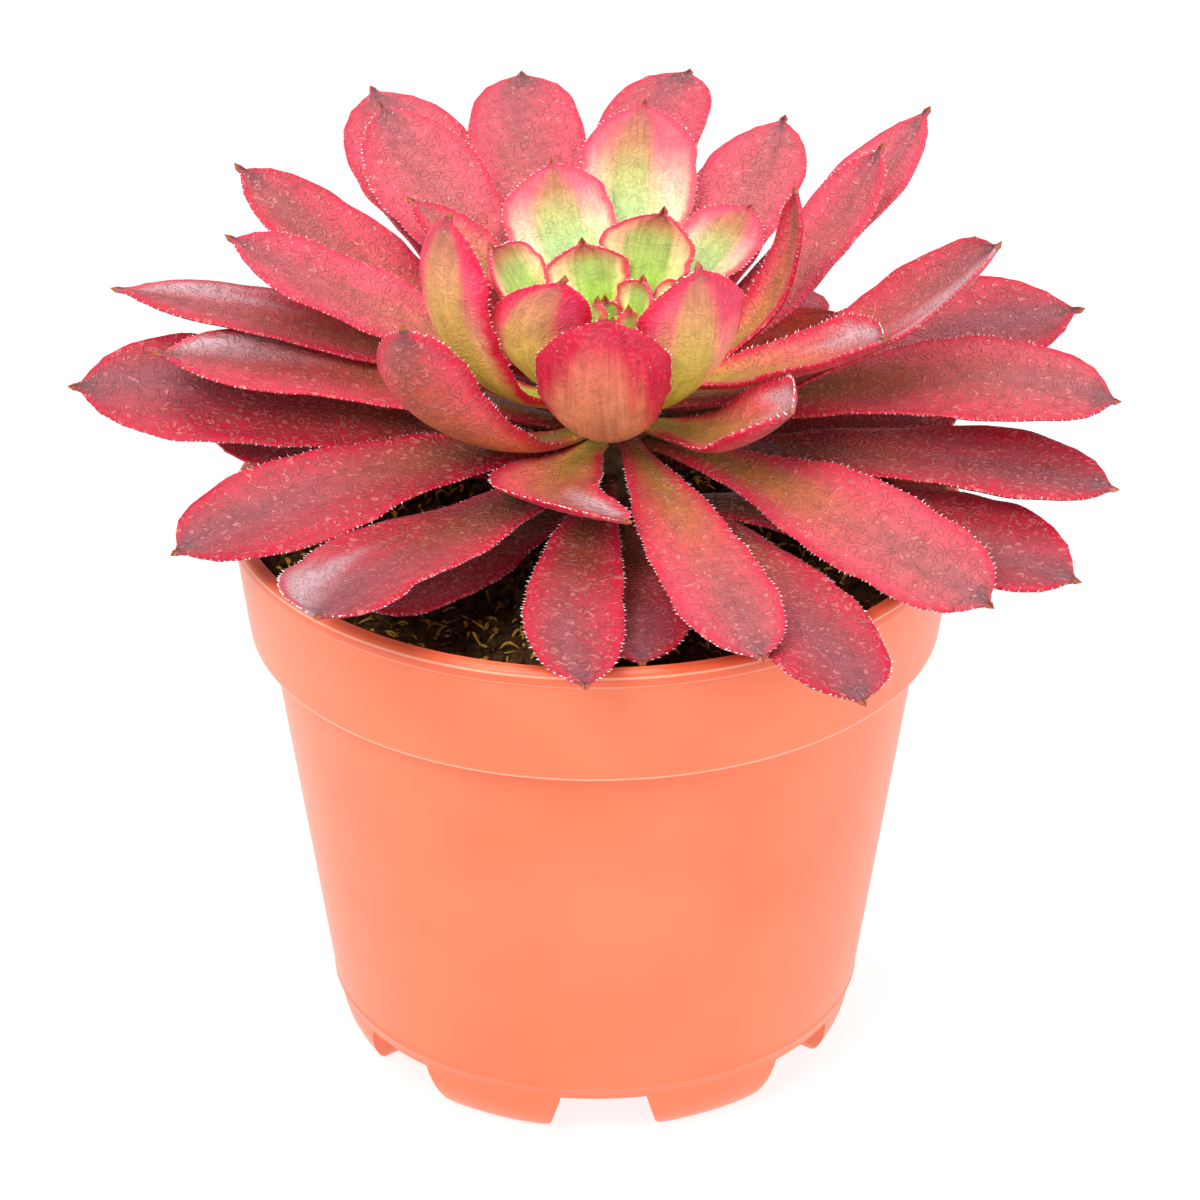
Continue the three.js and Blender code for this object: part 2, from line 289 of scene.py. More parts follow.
# ------------------------------------------------------------------------------ finishes
@dataclass(frozen=True)
class GrainedFinish:
    """What the plainer finishes share: a colour that follows one grain, and its relief."""

    name: str
    stops: Stops                              # the grain's colours, from its hollows up
    grain_mm: float                           # size of a patch of the grain
    detail: float                             # finer layers within a patch
    roughness: float
    ior: float = 1.5
    layering: float = 0.5                     # how strong the finer layers are
    relief: tuple[float, float] | None = None  # strength, and depth in mm
    glow: float = 0.0                         # light of its own
    specular: float = 0.5

    def make(self) -> bpy.types.Material:
        """Build the material."""
        material, tree = fresh_material(self.name)
        place = add_node(tree, "ShaderNodeTexCoord")
        grain = add_node(tree, "ShaderNodeTexNoise", {
            "Vector": place.outputs["Object"], "Scale": 1 / (self.grain_mm * MM),
            "Detail": self.detail, "Roughness": self.layering})
        shade = add_node(tree, "ShaderNodeValToRGB", {"Fac": grain})
        colour_stops(shade, self.stops)
        look = {"Base Color": shade, "Roughness": self.roughness, "IOR": self.ior,
                "Specular IOR Level": self.specular, "Emission Strength": self.glow}
        if self.relief:
            look["Normal"] = add_node(tree, "ShaderNodeBump", {
                "Height": grain, "Strength": self.relief[0], "Distance": self.relief[1] * MM})
        skin = add_node(tree, "ShaderNodeBsdfPrincipled", look)
        add_node(tree, "ShaderNodeOutputMaterial", {"Surface": skin})
        return material


@dataclass(frozen=True)
class DampCompost(GrainedFinish):
    """Damp peat compost: near black with brown crumbs, rough, with no shine but for wet glints."""

    name: str = "damp_peat_compost"
    stops: Stops = ((0.35, "#180e05"), (0.7, "#6c4a18"))
    grain_mm: float = 2.2
    detail: float = 6.0
    roughness: float = 0.82
    ior: float = 1.4
    layering: float = 0.65
    relief: tuple[float, float] | None = (0.9, 1.0)


@dataclass(frozen=True)
class CoirFibre(GrainedFinish):
    """Dry coir and bark shreds in the compost: golden to ochre brown, matt, streaked lengthwise."""

    name: str = "coir_fibre_ochre"
    stops: Stops = ((0.38, "#8c6418"), (0.66, "#f2c24a"))
    grain_mm: float = 3.0
    detail: float = 4.0
    roughness: float = 0.7
    ior: float = 1.45


@dataclass(frozen=True)
class Cilium(GrainedFinish):
    """The clear hairs along a leaf's margin: colourless, glassy, so they catch light as white."""

    name: str = "clear_leaf_hair"
    stops: Stops = ((0.3, "#fbe2e0"), (0.5, "#ffffff"))
    grain_mm: float = 6.0
    detail: float = 1.0
    roughness: float = 0.35
    ior: float = 1.45


@dataclass(frozen=True)
class SucculentBark(GrainedFinish):
    """The skin of an old succulent stem: corky grey brown, matt, ringed with leaf scars."""

    name: str = "corky_succulent_bark"
    stops: Stops = ((0.3, "#3a2312"), (0.55, "#6e4a28"), (0.75, "#8b6a3e"))
    grain_mm: float = 3.0
    detail: float = 5.0
    roughness: float = 0.75
    relief: tuple[float, float] | None = (0.6, 0.5)


@dataclass(frozen=True)
class StudioPaper(GrainedFinish):
    """Translucent white table film, lit from below, so that it stays white beside the pot."""

    name: str = "white_studio_paper"
    stops: Stops = ((0.2, "#888888"), (0.8, "#8c8c8c"))
    grain_mm: float = 2.0
    detail: float = 2.0
    roughness: float = 0.9
    glow: float = 0.82
    specular: float = 0.1


@dataclass(frozen=True)
class MouldedPolypropylene:
    """Thin polypropylene, injection moulded: even terracotta colour, soft satin shine.

    The wall lets a little light through, so the lit colour is warmer than the shaded one,
    and the mould leaves a faint cloudy flow and a very fine grain. Thin pale lines round the
    band and the lip are painted highlights, standing for light caught on the moulded edges,
    and the thick lip looks deeper in colour than the thin wall.
    """

    body: Stops = ((0.3, "#f4764c"), (0.75, "#f68259"))
    cloud_mm: float = 34.0
    grain_mm: float = 0.7
    lip: str = "#ee5c36"
    lip_height: float = 109.6
    lip_share: float = 0.55
    # painted highlights: pale lines that stand for light caught on the moulded edges
    painted_highlight: str = "#ffc0a4"
    painted_highlight_share: float = 0.7
    painted_highlight_heights: tuple[float, ...] = (88.9, 109.9, 111.9)
    painted_highlight_mm: tuple[float, float] = (0.08, 0.3)   # half-width of a painted highlight line, full and faded out

    def make(self) -> bpy.types.Material:
        """Build the material."""
        material, tree = fresh_material("moulded_polypropylene_terracotta")
        place = add_node(tree, "ShaderNodeTexCoord").outputs["Object"]
        cloud = add_node(tree, "ShaderNodeTexNoise", {
            "Vector": place, "Scale": 1 / (self.cloud_mm * MM), "Detail": 3.0})
        shade = add_node(tree, "ShaderNodeValToRGB", {"Fac": cloud})
        colour_stops(shade, self.body)
        height = add_node(tree, "ShaderNodeSeparateXYZ", {"Vector": place}).outputs["Z"]
        above = add_node(tree, "ShaderNodeMapRange", {
            "Value": height, "From Min": self.lip_height * MM - 0.3 * MM,
            "From Max": self.lip_height * MM, "To Min": 0.0, "To Max": self.lip_share})
        colour = add_node(tree, "ShaderNodeMix", {
            "Factor": above, 6: shade, 7: linear(self.lip)}, data_type="RGBA")
        # painted highlights: a pale line mixed in at the height of each moulded edge
        for painted_highlight_height in self.painted_highlight_heights:
            off = add_node(tree, "ShaderNodeMath", {
                0: height, 1: painted_highlight_height * MM}, operation="SUBTRACT")
            away = add_node(tree, "ShaderNodeMath", {0: off}, operation="ABSOLUTE")
            line = add_node(tree, "ShaderNodeMapRange", {
                "Value": away, "From Min": self.painted_highlight_mm[0] * MM, "From Max": self.painted_highlight_mm[1] * MM,
                "To Min": self.painted_highlight_share, "To Max": 0.0})
            colour = add_node(tree, "ShaderNodeMix", {
                "Factor": line, 6: colour, 7: linear(self.painted_highlight)}, data_type="RGBA")
        grain = add_node(tree, "ShaderNodeTexNoise", {
            "Vector": place, "Scale": 1 / (self.grain_mm * MM), "Detail": 2.0})
        relief = add_node(tree, "ShaderNodeBump", {
            "Height": grain, "Strength": 0.06, "Distance": 0.1 * MM})
        skin = add_node(tree, "ShaderNodeBsdfPrincipled", {
            "Base Color": colour, "Roughness": 0.38, "IOR": 1.49, "Normal": relief,
            "Sheen Weight": 0.3, "Sheen Roughness": 0.4, "Sheen Tint": linear("#ffe8dc")})
        add_node(tree, "ShaderNodeOutputMaterial", {"Surface": skin})
        return material


@dataclass(frozen=True)
class SucculentSkin:
    """Living leaf skin: fleshy and waxy, with a satin shine and fine winding relief lines.

    The ground colour comes from the leaf itself, which carries it from stem to tip. The
    material adds the bright margin, lengthwise streaks, pale winding lines and white specks.
    """

    mottle: tuple[float, float] = (0.84, 1.16)   # brightness of the darkest and lightest patches
    streak_mm: tuple[float, float] = (0.8, 12.0)  # width and length of a lengthwise streak
    streak_share: float = 1.1
    streak_relief: float = 1.3   # height of the streaks beside the winding lines
    ragged: float = 1.1      # how far the mottling eats into the margin, in margin widths
    line_mm: float = 2.2     # size of the loops that the winding lines make
    bend_mm: float = 2.0     # how far the loops are bent out of round
    line_gap: float = 0.19   # from one line to the next, as a share of a loop
    line_fade: float = 0.085  # half-width of a line, as a share of a loop
    line_share: float = 0.38
    line_colour: str = "#f2a092"
    speck_mm: float = 3.0    # distance between white specks
    speck_share: float = 0.55
    speck_colour: str = "#fbe3dc"
    relief_mm: float = 0.25

    def make(self) -> bpy.types.Material:
        """Build the material."""
        material, tree = fresh_material("waxy_succulent_leaf_skin")
        ground, rim, blade, inset, streaks = (
            add_node(tree, "ShaderNodeAttribute", attribute_name=name).outputs
            for name in ("ground", "margin", "blade", "inset", "streaks"))

        wander = add_node(tree, "ShaderNodeTexNoise", {
            "Vector": blade["Vector"], "Scale": 0.3, "Detail": 3.0, "Roughness": 0.6})
        mottled = add_node(tree, "ShaderNodeMapRange", {
            "Value": wander, "From Min": 0.3, "From Max": 0.7,
            "To Min": self.mottle[0], "To Max": self.mottle[1]})
        stretch = add_node(tree, "ShaderNodeMapping", {
            "Vector": blade["Vector"], "Scale": (1 / self.streak_mm[0], 1 / self.streak_mm[1], 1.0)})
        streak = add_node(tree, "ShaderNodeTexNoise", {
            "Vector": stretch, "Scale": 1.0, "Detail": 3.0, "Distortion": 0.6})
        centred = add_node(tree, "ShaderNodeMath", {0: streak, 1: 0.5}, operation="SUBTRACT")
        weighed = add_node(tree, "ShaderNodeMath", {0: centred, 1: streaks["Fac"]}, operation="MULTIPLY")
        streaked = add_node(tree, "ShaderNodeMath", {
            0: weighed, 1: self.streak_share, 2: mottled}, operation="MULTIPLY_ADD")
        toned = add_node(tree, "ShaderNodeVectorMath", {
            0: ground["Color"], "Scale": streaked}, operation="SCALE")

        # the bright margin: full at the edge, ragged where it fades out over its own width
        ragged = add_node(tree, "ShaderNodeMath", {
            0: wander, 1: -self.ragged, 2: inset["Fac"]}, operation="MULTIPLY_ADD")
        edge = add_node(tree, "ShaderNodeMapRange", {
            "Value": ragged, "From Min": 0.55, "From Max": -0.45, "To Min": 0.0, "To Max": 1.0},
            interpolation_type="SMOOTHSTEP")
        share = add_node(tree, "ShaderNodeMath", {0: edge, 1: rim["Alpha"]}, operation="MULTIPLY")
        edged = add_node(tree, "ShaderNodeMix", {
            "Factor": share, 6: toned, 7: rim["Color"]}, data_type="RGBA")

        # winding lines: rings of equal distance about scattered points, bent by a slow noise
        bend = add_node(tree, "ShaderNodeTexNoise", {
            "Vector": blade["Vector"], "Scale": 1 / self.line_mm, "Detail": 1.0})
        pulled = add_node(tree, "ShaderNodeVectorMath", {
            0: bend.outputs["Color"], 1: (self.bend_mm,) * 3, 2: blade["Vector"]},
            operation="MULTIPLY_ADD")
        rings = add_node(tree, "ShaderNodeTexVoronoi", {"Vector": pulled, "Scale": 1 / self.line_mm})
        waves = add_node(tree, "ShaderNodeMath", {0: rings, 1: self.line_gap}, operation="PINGPONG")
        line = add_node(tree, "ShaderNodeMapRange", {
            "Value": waves, "From Min": 0.0, "From Max": self.line_fade, "To Min": 1.0, "To Max": 0.0},
            interpolation_type="SMOOTHSTEP")
        ridge = add_node(tree, "ShaderNodeMath", {0: line, 1: ground["Alpha"]}, operation="MULTIPLY")
        faint = add_node(tree, "ShaderNodeMath", {0: ridge, 1: self.line_share}, operation="MULTIPLY")
        lined = add_node(tree, "ShaderNodeMix", {
            "Factor": faint, 6: edged, 7: linear(self.line_colour)}, data_type="RGBA")

        # white specks: short hairs seen end on
        cells = add_node(tree, "ShaderNodeTexVoronoi", {
            "Vector": blade["Vector"], "Scale": 1 / self.speck_mm})
        speck = add_node(tree, "ShaderNodeMapRange", {
            "Value": cells, "From Min": 0.035, "From Max": 0.075,
            "To Min": self.speck_share, "To Max": 0.0}, interpolation_type="SMOOTHSTEP")
        specked = add_node(tree, "ShaderNodeMix", {
            "Factor": speck, 6: lined, 7: linear(self.speck_colour)}, data_type="RGBA")

        height = add_node(tree, "ShaderNodeMath", {
            0: weighed, 1: self.streak_relief, 2: ridge}, operation="MULTIPLY_ADD")
        relief = add_node(tree, "ShaderNodeBump", {
            "Height": height, "Strength": 1.0, "Distance": self.relief_mm * MM})
        skin = add_node(tree, "ShaderNodeBsdfPrincipled", {
            "Base Color": specked, "Roughness": 0.5, "IOR": 1.38, "Normal": relief,
            "Sheen Weight": 0.06, "Sheen Roughness": 0.35, "Sheen Tint": linear("#ffe9ee")})
        add_node(tree, "ShaderNodeOutputMaterial", {"Surface": skin})
        return material


# ----------------------------------------------------------------------------- the plant
class Kind(Enum):
    """What a leaf looks like, by where it grows on the plant."""

    # deep crimson of the old outer leaves, darkened further as painted shade because these low leaves lie
    # under the others
    CRIMSON_WITH_PAINTED_SHADE = "low outer leaf, deep crimson with a brown foot"
    ROSE = "outer leaf in full light, rose red over an ochre foot"
    BLUSH = "back leaf, paler pink red"
    CORAL = "inner leaf, pink orange over an olive foot"
    GARDEN = "tall leaf behind the heart, green between cream and pink"
    SPRING = "young heart leaf, bright green and cream with a thin pink edge"
    SHIELD = "round front heart leaf seen from outside, peach with a broad crimson edge"
    BRONZE = "side heart leaf, olive bronze with pink flanks and a crimson edge"
    # painted glow: this orange leaf sits in shade, and its colours are brightened so that it shines as if
    # lit
    ORANGE_PAINTED_GLOW = "old leaf glowing orange"


DUSKY_PATCH = "#84505a"    # down the middle of an old leaf's outer half
FLAP_COLOUR = "#c4aab2"    # the pale underside that a folded end shows
POINT_COLOUR = "#a8562e"   # the dry little point
SLOTS = {Kind.GARDEN: "leaf_green", Kind.SPRING: "leaf_green", Kind.SHIELD: "leaf_mixed",
         Kind.BRONZE: "leaf_mixed", Kind.CORAL: "leaf_mixed"}


@dataclass(frozen=True)
class Tint:
    """The colours of one kind of leaf, from the stem (0) to the tip (1)."""

    middle: Stops
    flank: Stops
    margin: str
    rim_mm: float = 2.4                      # width of the bright margin
    core: tuple[float, float] = (0.1, 0.9)   # where the middle fades into the flanks
    arch: float = 0.0                        # how much the flanks close in towards the tip
    edge: float = 0.85                       # strength of the margin
    grey: float = 0.4                        # strength of the dusky patch down the middle
    tip: str = "#6c4850"
    tip_share: float = 0.92                  # where along the blade the tip's colour starts
    stripe: float = 0.0                      # strength of the pale bands that run lengthwise
    stripe_colour: str = "#f6eeb0"
    lines: float = 1.0                       # how clear the winding relief lines are
    streaks: float = 0.3                     # how clear the lengthwise streaks are


TINTS: dict[Kind, Tint] = {
    # low outer leaves: their own deep crimson, made darker still as painted shade where they lie under the
    # others
    Kind.CRIMSON_WITH_PAINTED_SHADE: Tint(
        middle=((0.0, "#341c10"), (0.2, "#6c3a1e"), (0.42, "#964232"), (0.62, "#a63843"), (1.0, "#963e4a")),
        flank=((0.0, "#481a14"), (0.2, "#862622"), (0.45, "#b42a3a"), (0.75, "#c22a42"), (1.0, "#a83044")),
        margin="#c8143a", rim_mm=2.6, grey=0.45),
    Kind.ROSE: Tint(
        middle=((0.0, "#6c4c18"), (0.2, "#a27434"), (0.4, "#b46a3e"), (0.6, "#c4524e"), (1.0, "#b05058")),
        flank=((0.0, "#80321f"), (0.2, "#be3f40"), (0.45, "#d04252"), (0.75, "#d6465a"), (1.0, "#bc4656")),
        margin="#d42444", rim_mm=2.2, grey=0.45),
    Kind.BLUSH: Tint(
        middle=((0.0, "#8c8a3c"), (0.3, "#b07048"), (0.6, "#c45a5c"), (0.85, "#c4545e"), (1.0, "#a8525e")),
        flank=((0.0, "#b06a48"), (0.3, "#d44c58"), (0.6, "#e05066"), (0.85, "#de4c62"), (1.0, "#c4485a")),
        margin="#e03454", rim_mm=2.0, grey=0.3),
    Kind.CORAL: Tint(
        middle=((0.0, "#969a34"), (0.25, "#b0903a"), (0.55, "#c47a46"), (0.8, "#cc6052"), (1.0, "#a0525a")),
        flank=((0.0, "#bca43c"), (0.25, "#e08c50"), (0.55, "#f0666a"), (0.85, "#e84c60"), (1.0, "#bc4656")),
        margin="#d81440", rim_mm=2.8, grey=0.25, edge=0.95),
    Kind.GARDEN: Tint(
        middle=((0.0, "#94c462"), (0.3, "#a8d488"), (0.55, "#acd084"), (0.72, "#b4b468"), (0.84, "#ba7c50"),
                (1.0, "#b04a54")),
        flank=((0.0, "#f6ec90"), (0.35, "#fdf4b4"), (0.55, "#ffeab8"), (0.68, "#fab6a0"), (0.82, "#ec6676"),
               (1.0, "#d8465e")),
        margin="#e2385a", rim_mm=2.0, core=(0.44, 0.7), arch=0.5, edge=0.9, grey=0.0, tip="#9c484e",
        tip_share=0.96, lines=0.45, streaks=0.6, stripe=0.1),
    Kind.SPRING: Tint(
        middle=((0.0, "#80c210"), (0.3, "#92d02a"), (0.55, "#a8d860"), (0.78, "#b4ce74"), (0.9, "#c08056"),
                (1.0, "#a43c4a")),
        flank=((0.0, "#e0f050"), (0.35, "#fcfa8c"), (0.62, "#fff8b0"), (0.8, "#fdc8a0"), (1.0, "#ee6476")),
        margin="#ec3c60", rim_mm=1.6, core=(0.36, 0.7), edge=0.95, grey=0.0, tip="#983a48", tip_share=0.94,
        lines=0.25, streaks=0.7, stripe=0.12),
    Kind.SHIELD: Tint(
        middle=((0.0, "#b4a83a"), (0.12, "#ccac5c"), (0.35, "#dca268"), (0.6, "#da8c62"), (0.8, "#d8705a"),
                (0.9, "#cc3048"), (1.0, "#b0143c")),
        flank=((0.0, "#c4ac44"), (0.15, "#dca060"), (0.34, "#de8458"), (0.5, "#dc3a48"), (0.7, "#d2143e"),
               (1.0, "#bc0c38")),
        margin="#ca0838", rim_mm=2.6, core=(0.56, 0.84), arch=0.9, edge=1.0, grey=0.0, tip="#a01c3c",
        tip_share=0.97, lines=0.35, streaks=0.9),
    Kind.BRONZE: Tint(
        middle=((0.0, "#b8e020"), (0.35, "#cce04a"), (0.6, "#dccc62"), (0.82, "#dc9a6a"), (1.0, "#ac4a54")),
        flank=((0.0, "#eef24c"), (0.35, "#ffe880"), (0.56, "#ffb69e"), (0.76, "#f85478"), (1.0, "#d01e48")),
        margin="#e40e42", rim_mm=3.0, core=(0.3, 0.68), arch=0.3, edge=1.0, grey=0.0, tip="#8c4450",
        tip_share=0.94, lines=0.4, streaks=0.6),
    # painted glow: colours brightened past the leaf's own orange, so that it shines though it sits in shade
    Kind.ORANGE_PAINTED_GLOW: Tint(
        middle=((0.0, "#e0501a"), (0.4, "#ff5a20"), (0.8, "#f86434"), (1.0, "#c84a42")),
        flank=((0.0, "#e0441a"), (0.4, "#ff5024"), (0.8, "#fa5c40"), (1.0, "#c84a42")),
        margin="#f0382e", rim_mm=1.5, grey=0.1),
}


@dataclass(frozen=True)
class Blade:
    """What all blades share."""

    along: int = 46          # rings from stem to tip
    across: int = 17         # corners over one face
    base_share: float = 0.2  # width at the stem as a share of the full width
    widest: float = 0.7      # where a blade is widest, as a share of its length
    margin: float = 0.7      # thickness of the margins
    tip_thickness: float = 0.9
    upper_share: float = 0.35  # how much of the thickness lies above the midrib
    spine: float = 0.6       # half-width where the blade ends and its little point starts
    clearance: float = 0.4   # between the blade's foot and the stem
    steps: int = 200         # along the midrib
    point_mm: tuple[float, ...] = (0.3, 0.7, 1.1)

    def outline(self, t: Array, point: float) -> Array:
        """Half-width along a blade.

        Args:
            t: share of the length.
            point: how pointed the end is, 0 for round to 1 for straight sides.

        Returns:
            The half-width as a share of the greatest one.
        """
        rising = self.base_share + (1 - self.base_share) * np.sin(
            math.pi / 2 * np.minimum(t / self.widest, 1)) ** 1.45
        fall = np.clip((t - self.widest) / (0.985 - self.widest), 0, 1)
        return np.where(t < self.widest, rising,
                        (1 - fall ** (3 - 1.2 * point)) ** (0.5 + 0.5 * point))


BLADE = Blade()


@dataclass(frozen=True)
class Axis:
    """The stem: where it stands and how it tapers."""

    x: float = 4.0
    foot: float = 80.0
    top: float = 145.0
    foot_radius: float = 9.6
    top_radius: float = 6.0

    def radius(self, z: float) -> float:
        """Radius of the stem at a height."""
        share = (z - self.foot) / (self.top - self.foot)
        return self.foot_radius + (self.top_radius - self.foot_radius) * share

    def around(self, radius: float, azimuth: float, z: float) -> Array:
        """The point at a radius and an azimuth (degrees from the front towards +X)."""
        a = math.radians(azimuth)
        return np.array([self.x + radius * math.sin(a), -radius * math.cos(a), z])


AXIS = Axis()


def heading(azimuth: float, pitch: float) -> Array:
    """Direction of travel at an azimuth and a pitch above level, in degrees."""
    a, p = math.radians(azimuth), math.radians(pitch)
    return np.array([math.cos(p) * math.sin(a), -math.cos(p) * math.cos(a), math.sin(p)])


@dataclass(frozen=True)
class Leaf:
    """One leaf: where it leaves the stem, how it travels, its section and its kind."""

    node: str
    azimuth: float            # degrees from the front towards +X
    height: float             # where it leaves the stem
    length: float
    width: float
    base_pitch: float         # degrees above level at the stem and at the tip
    tip_pitch: float
    bend: float               # how far it swings round on its way, in degrees
    roll: float               # about its own length, in degrees
    cup: float                # how far the sides curl up, in degrees
    hook: float               # how far the end is pulled sideways, in half-widths
    wave: float               # height of the margin's ripples
    point: float              # how pointed the end is, 0 to 1
    kind: Kind
    fold: float = 0.0         # which side of the end gets the pale colour of a folded flap: -1 or 1, or 0 for none
    root: float | None = None  # distance of its foot from the stem's axis, where it isn't free

    @property
    def seed(self) -> float:
        """A number of the leaf's own, from its place on the stem."""
        return (self.azimuth * 0.37 + self.height * 1.71) % 50

    @property
    def thickest(self) -> float:
        """The blade's thickness at its foot."""
        return min(2.9, 0.1 * self.width + 0.5)

    def line(self) -> Array:
        """The midrib, as evenly spaced points."""
        free = AXIS.radius(self.height) + BLADE.clearance + 0.5 * self.thickest * abs(
            math.sin(math.radians(self.base_pitch)))
        spot = AXIS.around(self.root if self.root is not None else free, self.azimuth, self.height)
        spots = [spot]
        for k in range(BLADE.steps):
            t = (k + 0.5) / BLADE.steps
            spot = spot + self.travel(t) * (self.length / BLADE.steps)
            spots.append(spot)
        return np.array(spots)

    def travel(self, t: float) -> Array:
        """Direction of the midrib at a share of the length."""
        return heading(self.azimuth + self.bend * t,
                       self.base_pitch + (self.tip_pitch - self.base_pitch) * t)

    def section(self, t: float, spot: Array, half: float) -> tuple[Array, Array, Array]:
        """One ring of the blade.

        Args:
            t: share of the length.
            spot: the midrib there.
            half: half-width there.

        Returns:
            The lower face's and the upper face's points from left to right, and the two
            points that round the margins.
        """
        forward = self.travel(t)
        a = math.radians(self.azimuth + self.bend * t)
        side = np.array([math.cos(a), math.sin(a), 0.0])
        turn = Matrix.Rotation(math.radians(self.roll * min(1, 1.6 * t)), 3, Vector(forward))
        up = np.array(turn @ Vector(np.cross(forward, side)))
        side = np.array(turn @ Vector(side))
        u = np.linspace(-1, 1, BLADE.across)
        curl = max(math.radians(self.cup) * min(1, 0.35 + 1.3 * t), 1e-4)
        pull = self.hook * self.width / 2 * max(0, (t - 0.55) / 0.45) ** 2
        body = self.thickest * (1 - t) ** 1.1 + 1.1 * t
        spread = max(0.0, (t - 0.9) / 0.1)
        spine = body + (BLADE.tip_thickness - body) * min(1, spread)
        lean = u * curl
        ripple = self.wave * u * u * np.sin(4.4 * math.pi * t + 1.9 * u + 0.1 * self.azimuth)
        rise = half * (1 - np.cos(lean)) / curl + ripple * min(1, 3 * t, 4 * (1 - min(t, 1)))
        centre = spot + side * (half * np.sin(lean) / curl + pull)[:, None] + up * rise[:, None]
        outward = up * np.cos(lean)[:, None] - side * np.sin(lean)[:, None]
        depth = (spine + (BLADE.margin - spine) * u * u) * min(1.0, half / BLADE.spine)
        ridge = 0.16 * np.sin(13 * u + self.seed) * smooth(0.25, 0.7, t) * (1 - u * u)
        upper = centre + outward * (depth * BLADE.upper_share + ridge)[:, None]
        lower = centre - outward * (depth * (1 - BLADE.upper_share))[:, None]
        out = side * np.cos(lean)[:, None] + up * np.sin(lean)[:, None]
        edge = (upper + lower) / 2
        round_off = 0.32 * depth[0]
        margins = np.array([edge[-1] + out[-1] * round_off, edge[0] - out[0] * round_off])
        return lower, upper, margins

    def rings(self) -> tuple[Array, Array, Array, Array]:
        """The whole blade.

        Returns:
            The rings' points, and for each point the share along (t), across (u) and the
            half-width there.
        """
        line = self.line()
        share = np.linspace(0, 1, BLADE.along)
        stations = 1 - (1 - share) ** 1.3
        u = np.linspace(-1, 1, BLADE.across)
        across = np.concatenate([u, [1.0], u[::-1], [-1.0]])
        rings, ts, halves = [], [], []
        for t in stations:
            half = max(self.width / 2 * float(BLADE.outline(np.array(t), self.point)), BLADE.spine)
            ragged = 0.018 * math.sin(31 * t + self.seed) + 0.014 * math.sin(57 * t)
            half *= 1 + ragged * min(1, 5 * (1 - t))
            rings.append((float(t), line[min(BLADE.steps, round(t * BLADE.steps))], half))
        for extra in BLADE.point_mm:
            fade = 1 - extra / (BLADE.point_mm[-1] + 0.1)
            rings.append((1.0, line[-1] + self.travel(1.0) * extra, BLADE.spine * fade))
        points = []
        for t, spot, half in rings:
            lower, upper, margins = self.section(t, spot, half)
            points.append(np.vstack([lower, margins[:1], upper[::-1], margins[1:]]))
            ts.append(np.full(len(across), t))
            halves.append(np.full(len(across), half))
        return (np.array(points), np.array(ts), np.tile(across, (len(rings), 1)), np.array(halves))

    def ground(self, t: Array, u: Array) -> Array:
        """Ground colour of the skin.

        Args:
            t: share along the blade, for each point.
            u: share across it, -1 to 1.

        Returns:
            Linear red, green and blue for each point.
        """
        tint = TINTS[self.kind]

        def towards(colour: Array, hexa: str, share: Array) -> Array:
            """Mix one colour in by a share."""
            return blend(colour, np.broadcast_to(linear(hexa)[:3], colour.shape), share)

        lean = 0.16 * math.sin(3.1 * self.seed)
        wobble = 0.07 * np.sin(9 * u + self.seed + 5 * t) + 0.05 * np.sin(23 * u - self.seed + 3 * t)
        aside = np.abs(u - lean) + wobble + tint.arch * np.clip(t - 0.5, 0, 1)
        share = smooth(tint.core[0], tint.core[1], aside)
        colour = blend(ramp(tint.middle, t), ramp(tint.flank, t), share)
        if tint.stripe:
            band = smooth(0.45, 0.95, 0.5 + 0.5 * np.sin(29 * u + self.seed + 1.5 * t))
            band *= tint.stripe * smooth(0.95, 0.6, t) * (1 - share)
            colour = towards(colour, tint.stripe_colour, band)
        patch = np.exp(-((u - lean + 0.1 * np.sin(6 * t + self.seed)) / 0.42) ** 2)
        colour = towards(colour, DUSKY_PATCH, tint.grey * smooth(0.45, 0.85, t) * patch)
        if self.fold:
            flap = smooth(0.58, 0.82, t + 0.06 * np.sin(11 * u + self.seed))
            flap *= smooth(-0.1, 0.6, self.fold * u)
            colour = towards(colour, FLAP_COLOUR, 0.85 * flap)
        cone = smooth(tint.tip_share, 1.0, t) * np.clip(1.35 - np.abs(u), 0, 1)
        colour = towards(colour, tint.tip, cone)
        return towards(colour, POINT_COLOUR, smooth(0.996, 1.0, t))

    def build(self, skin: bpy.types.Material) -> bpy.types.Object:
        """Make the blade and dress it.

        Args:
            skin: the leaf finish.

        Returns:
            The blade.
        """
        points, t, u, half = self.rings()
        piece = make_piece(self.node.replace("leaf_", "blade_"), points, loft(points), skin,
                           SLOTS.get(self.kind, "leaf_red"), self.node)
        lend(piece.data, [self.values(t, u, half)])
        return piece

    def values(self, t: Array, u: Array, half: Array) -> dict[tuple[str, str], Array]:
        """What the leaf's finish reads.

        Args:
            t: share along the blade, for each point.
            u: share across it, -1 to 1.
            half: half-width of the blade there.

        Returns:
            For each name and type of value, a row for each point.
        """
        t, u, half = t.ravel(), u.ravel(), half.ravel()
        tint = TINTS[self.kind]
        colour = self.ground(t, u)
        rim = np.broadcast_to(linear(tint.margin)[:3], colour.shape)
        strength = tint.edge * smooth(0.02, 0.2, t) * (1 - smooth(0.965, 0.99, t))
        same = np.ones(len(t))
        return {
            ("ground", "FLOAT_COLOR"): np.column_stack([colour, same * tint.lines]),
            ("margin", "FLOAT_COLOR"): np.column_stack([rim, strength]),
            ("blade", "FLOAT_VECTOR"): np.column_stack([u * half, t * self.length, same * self.seed]),
            ("inset", "FLOAT"): half * (1 - np.abs(u)) / tint.rim_mm,
            ("streaks", "FLOAT"): same * tint.streaks,
        }

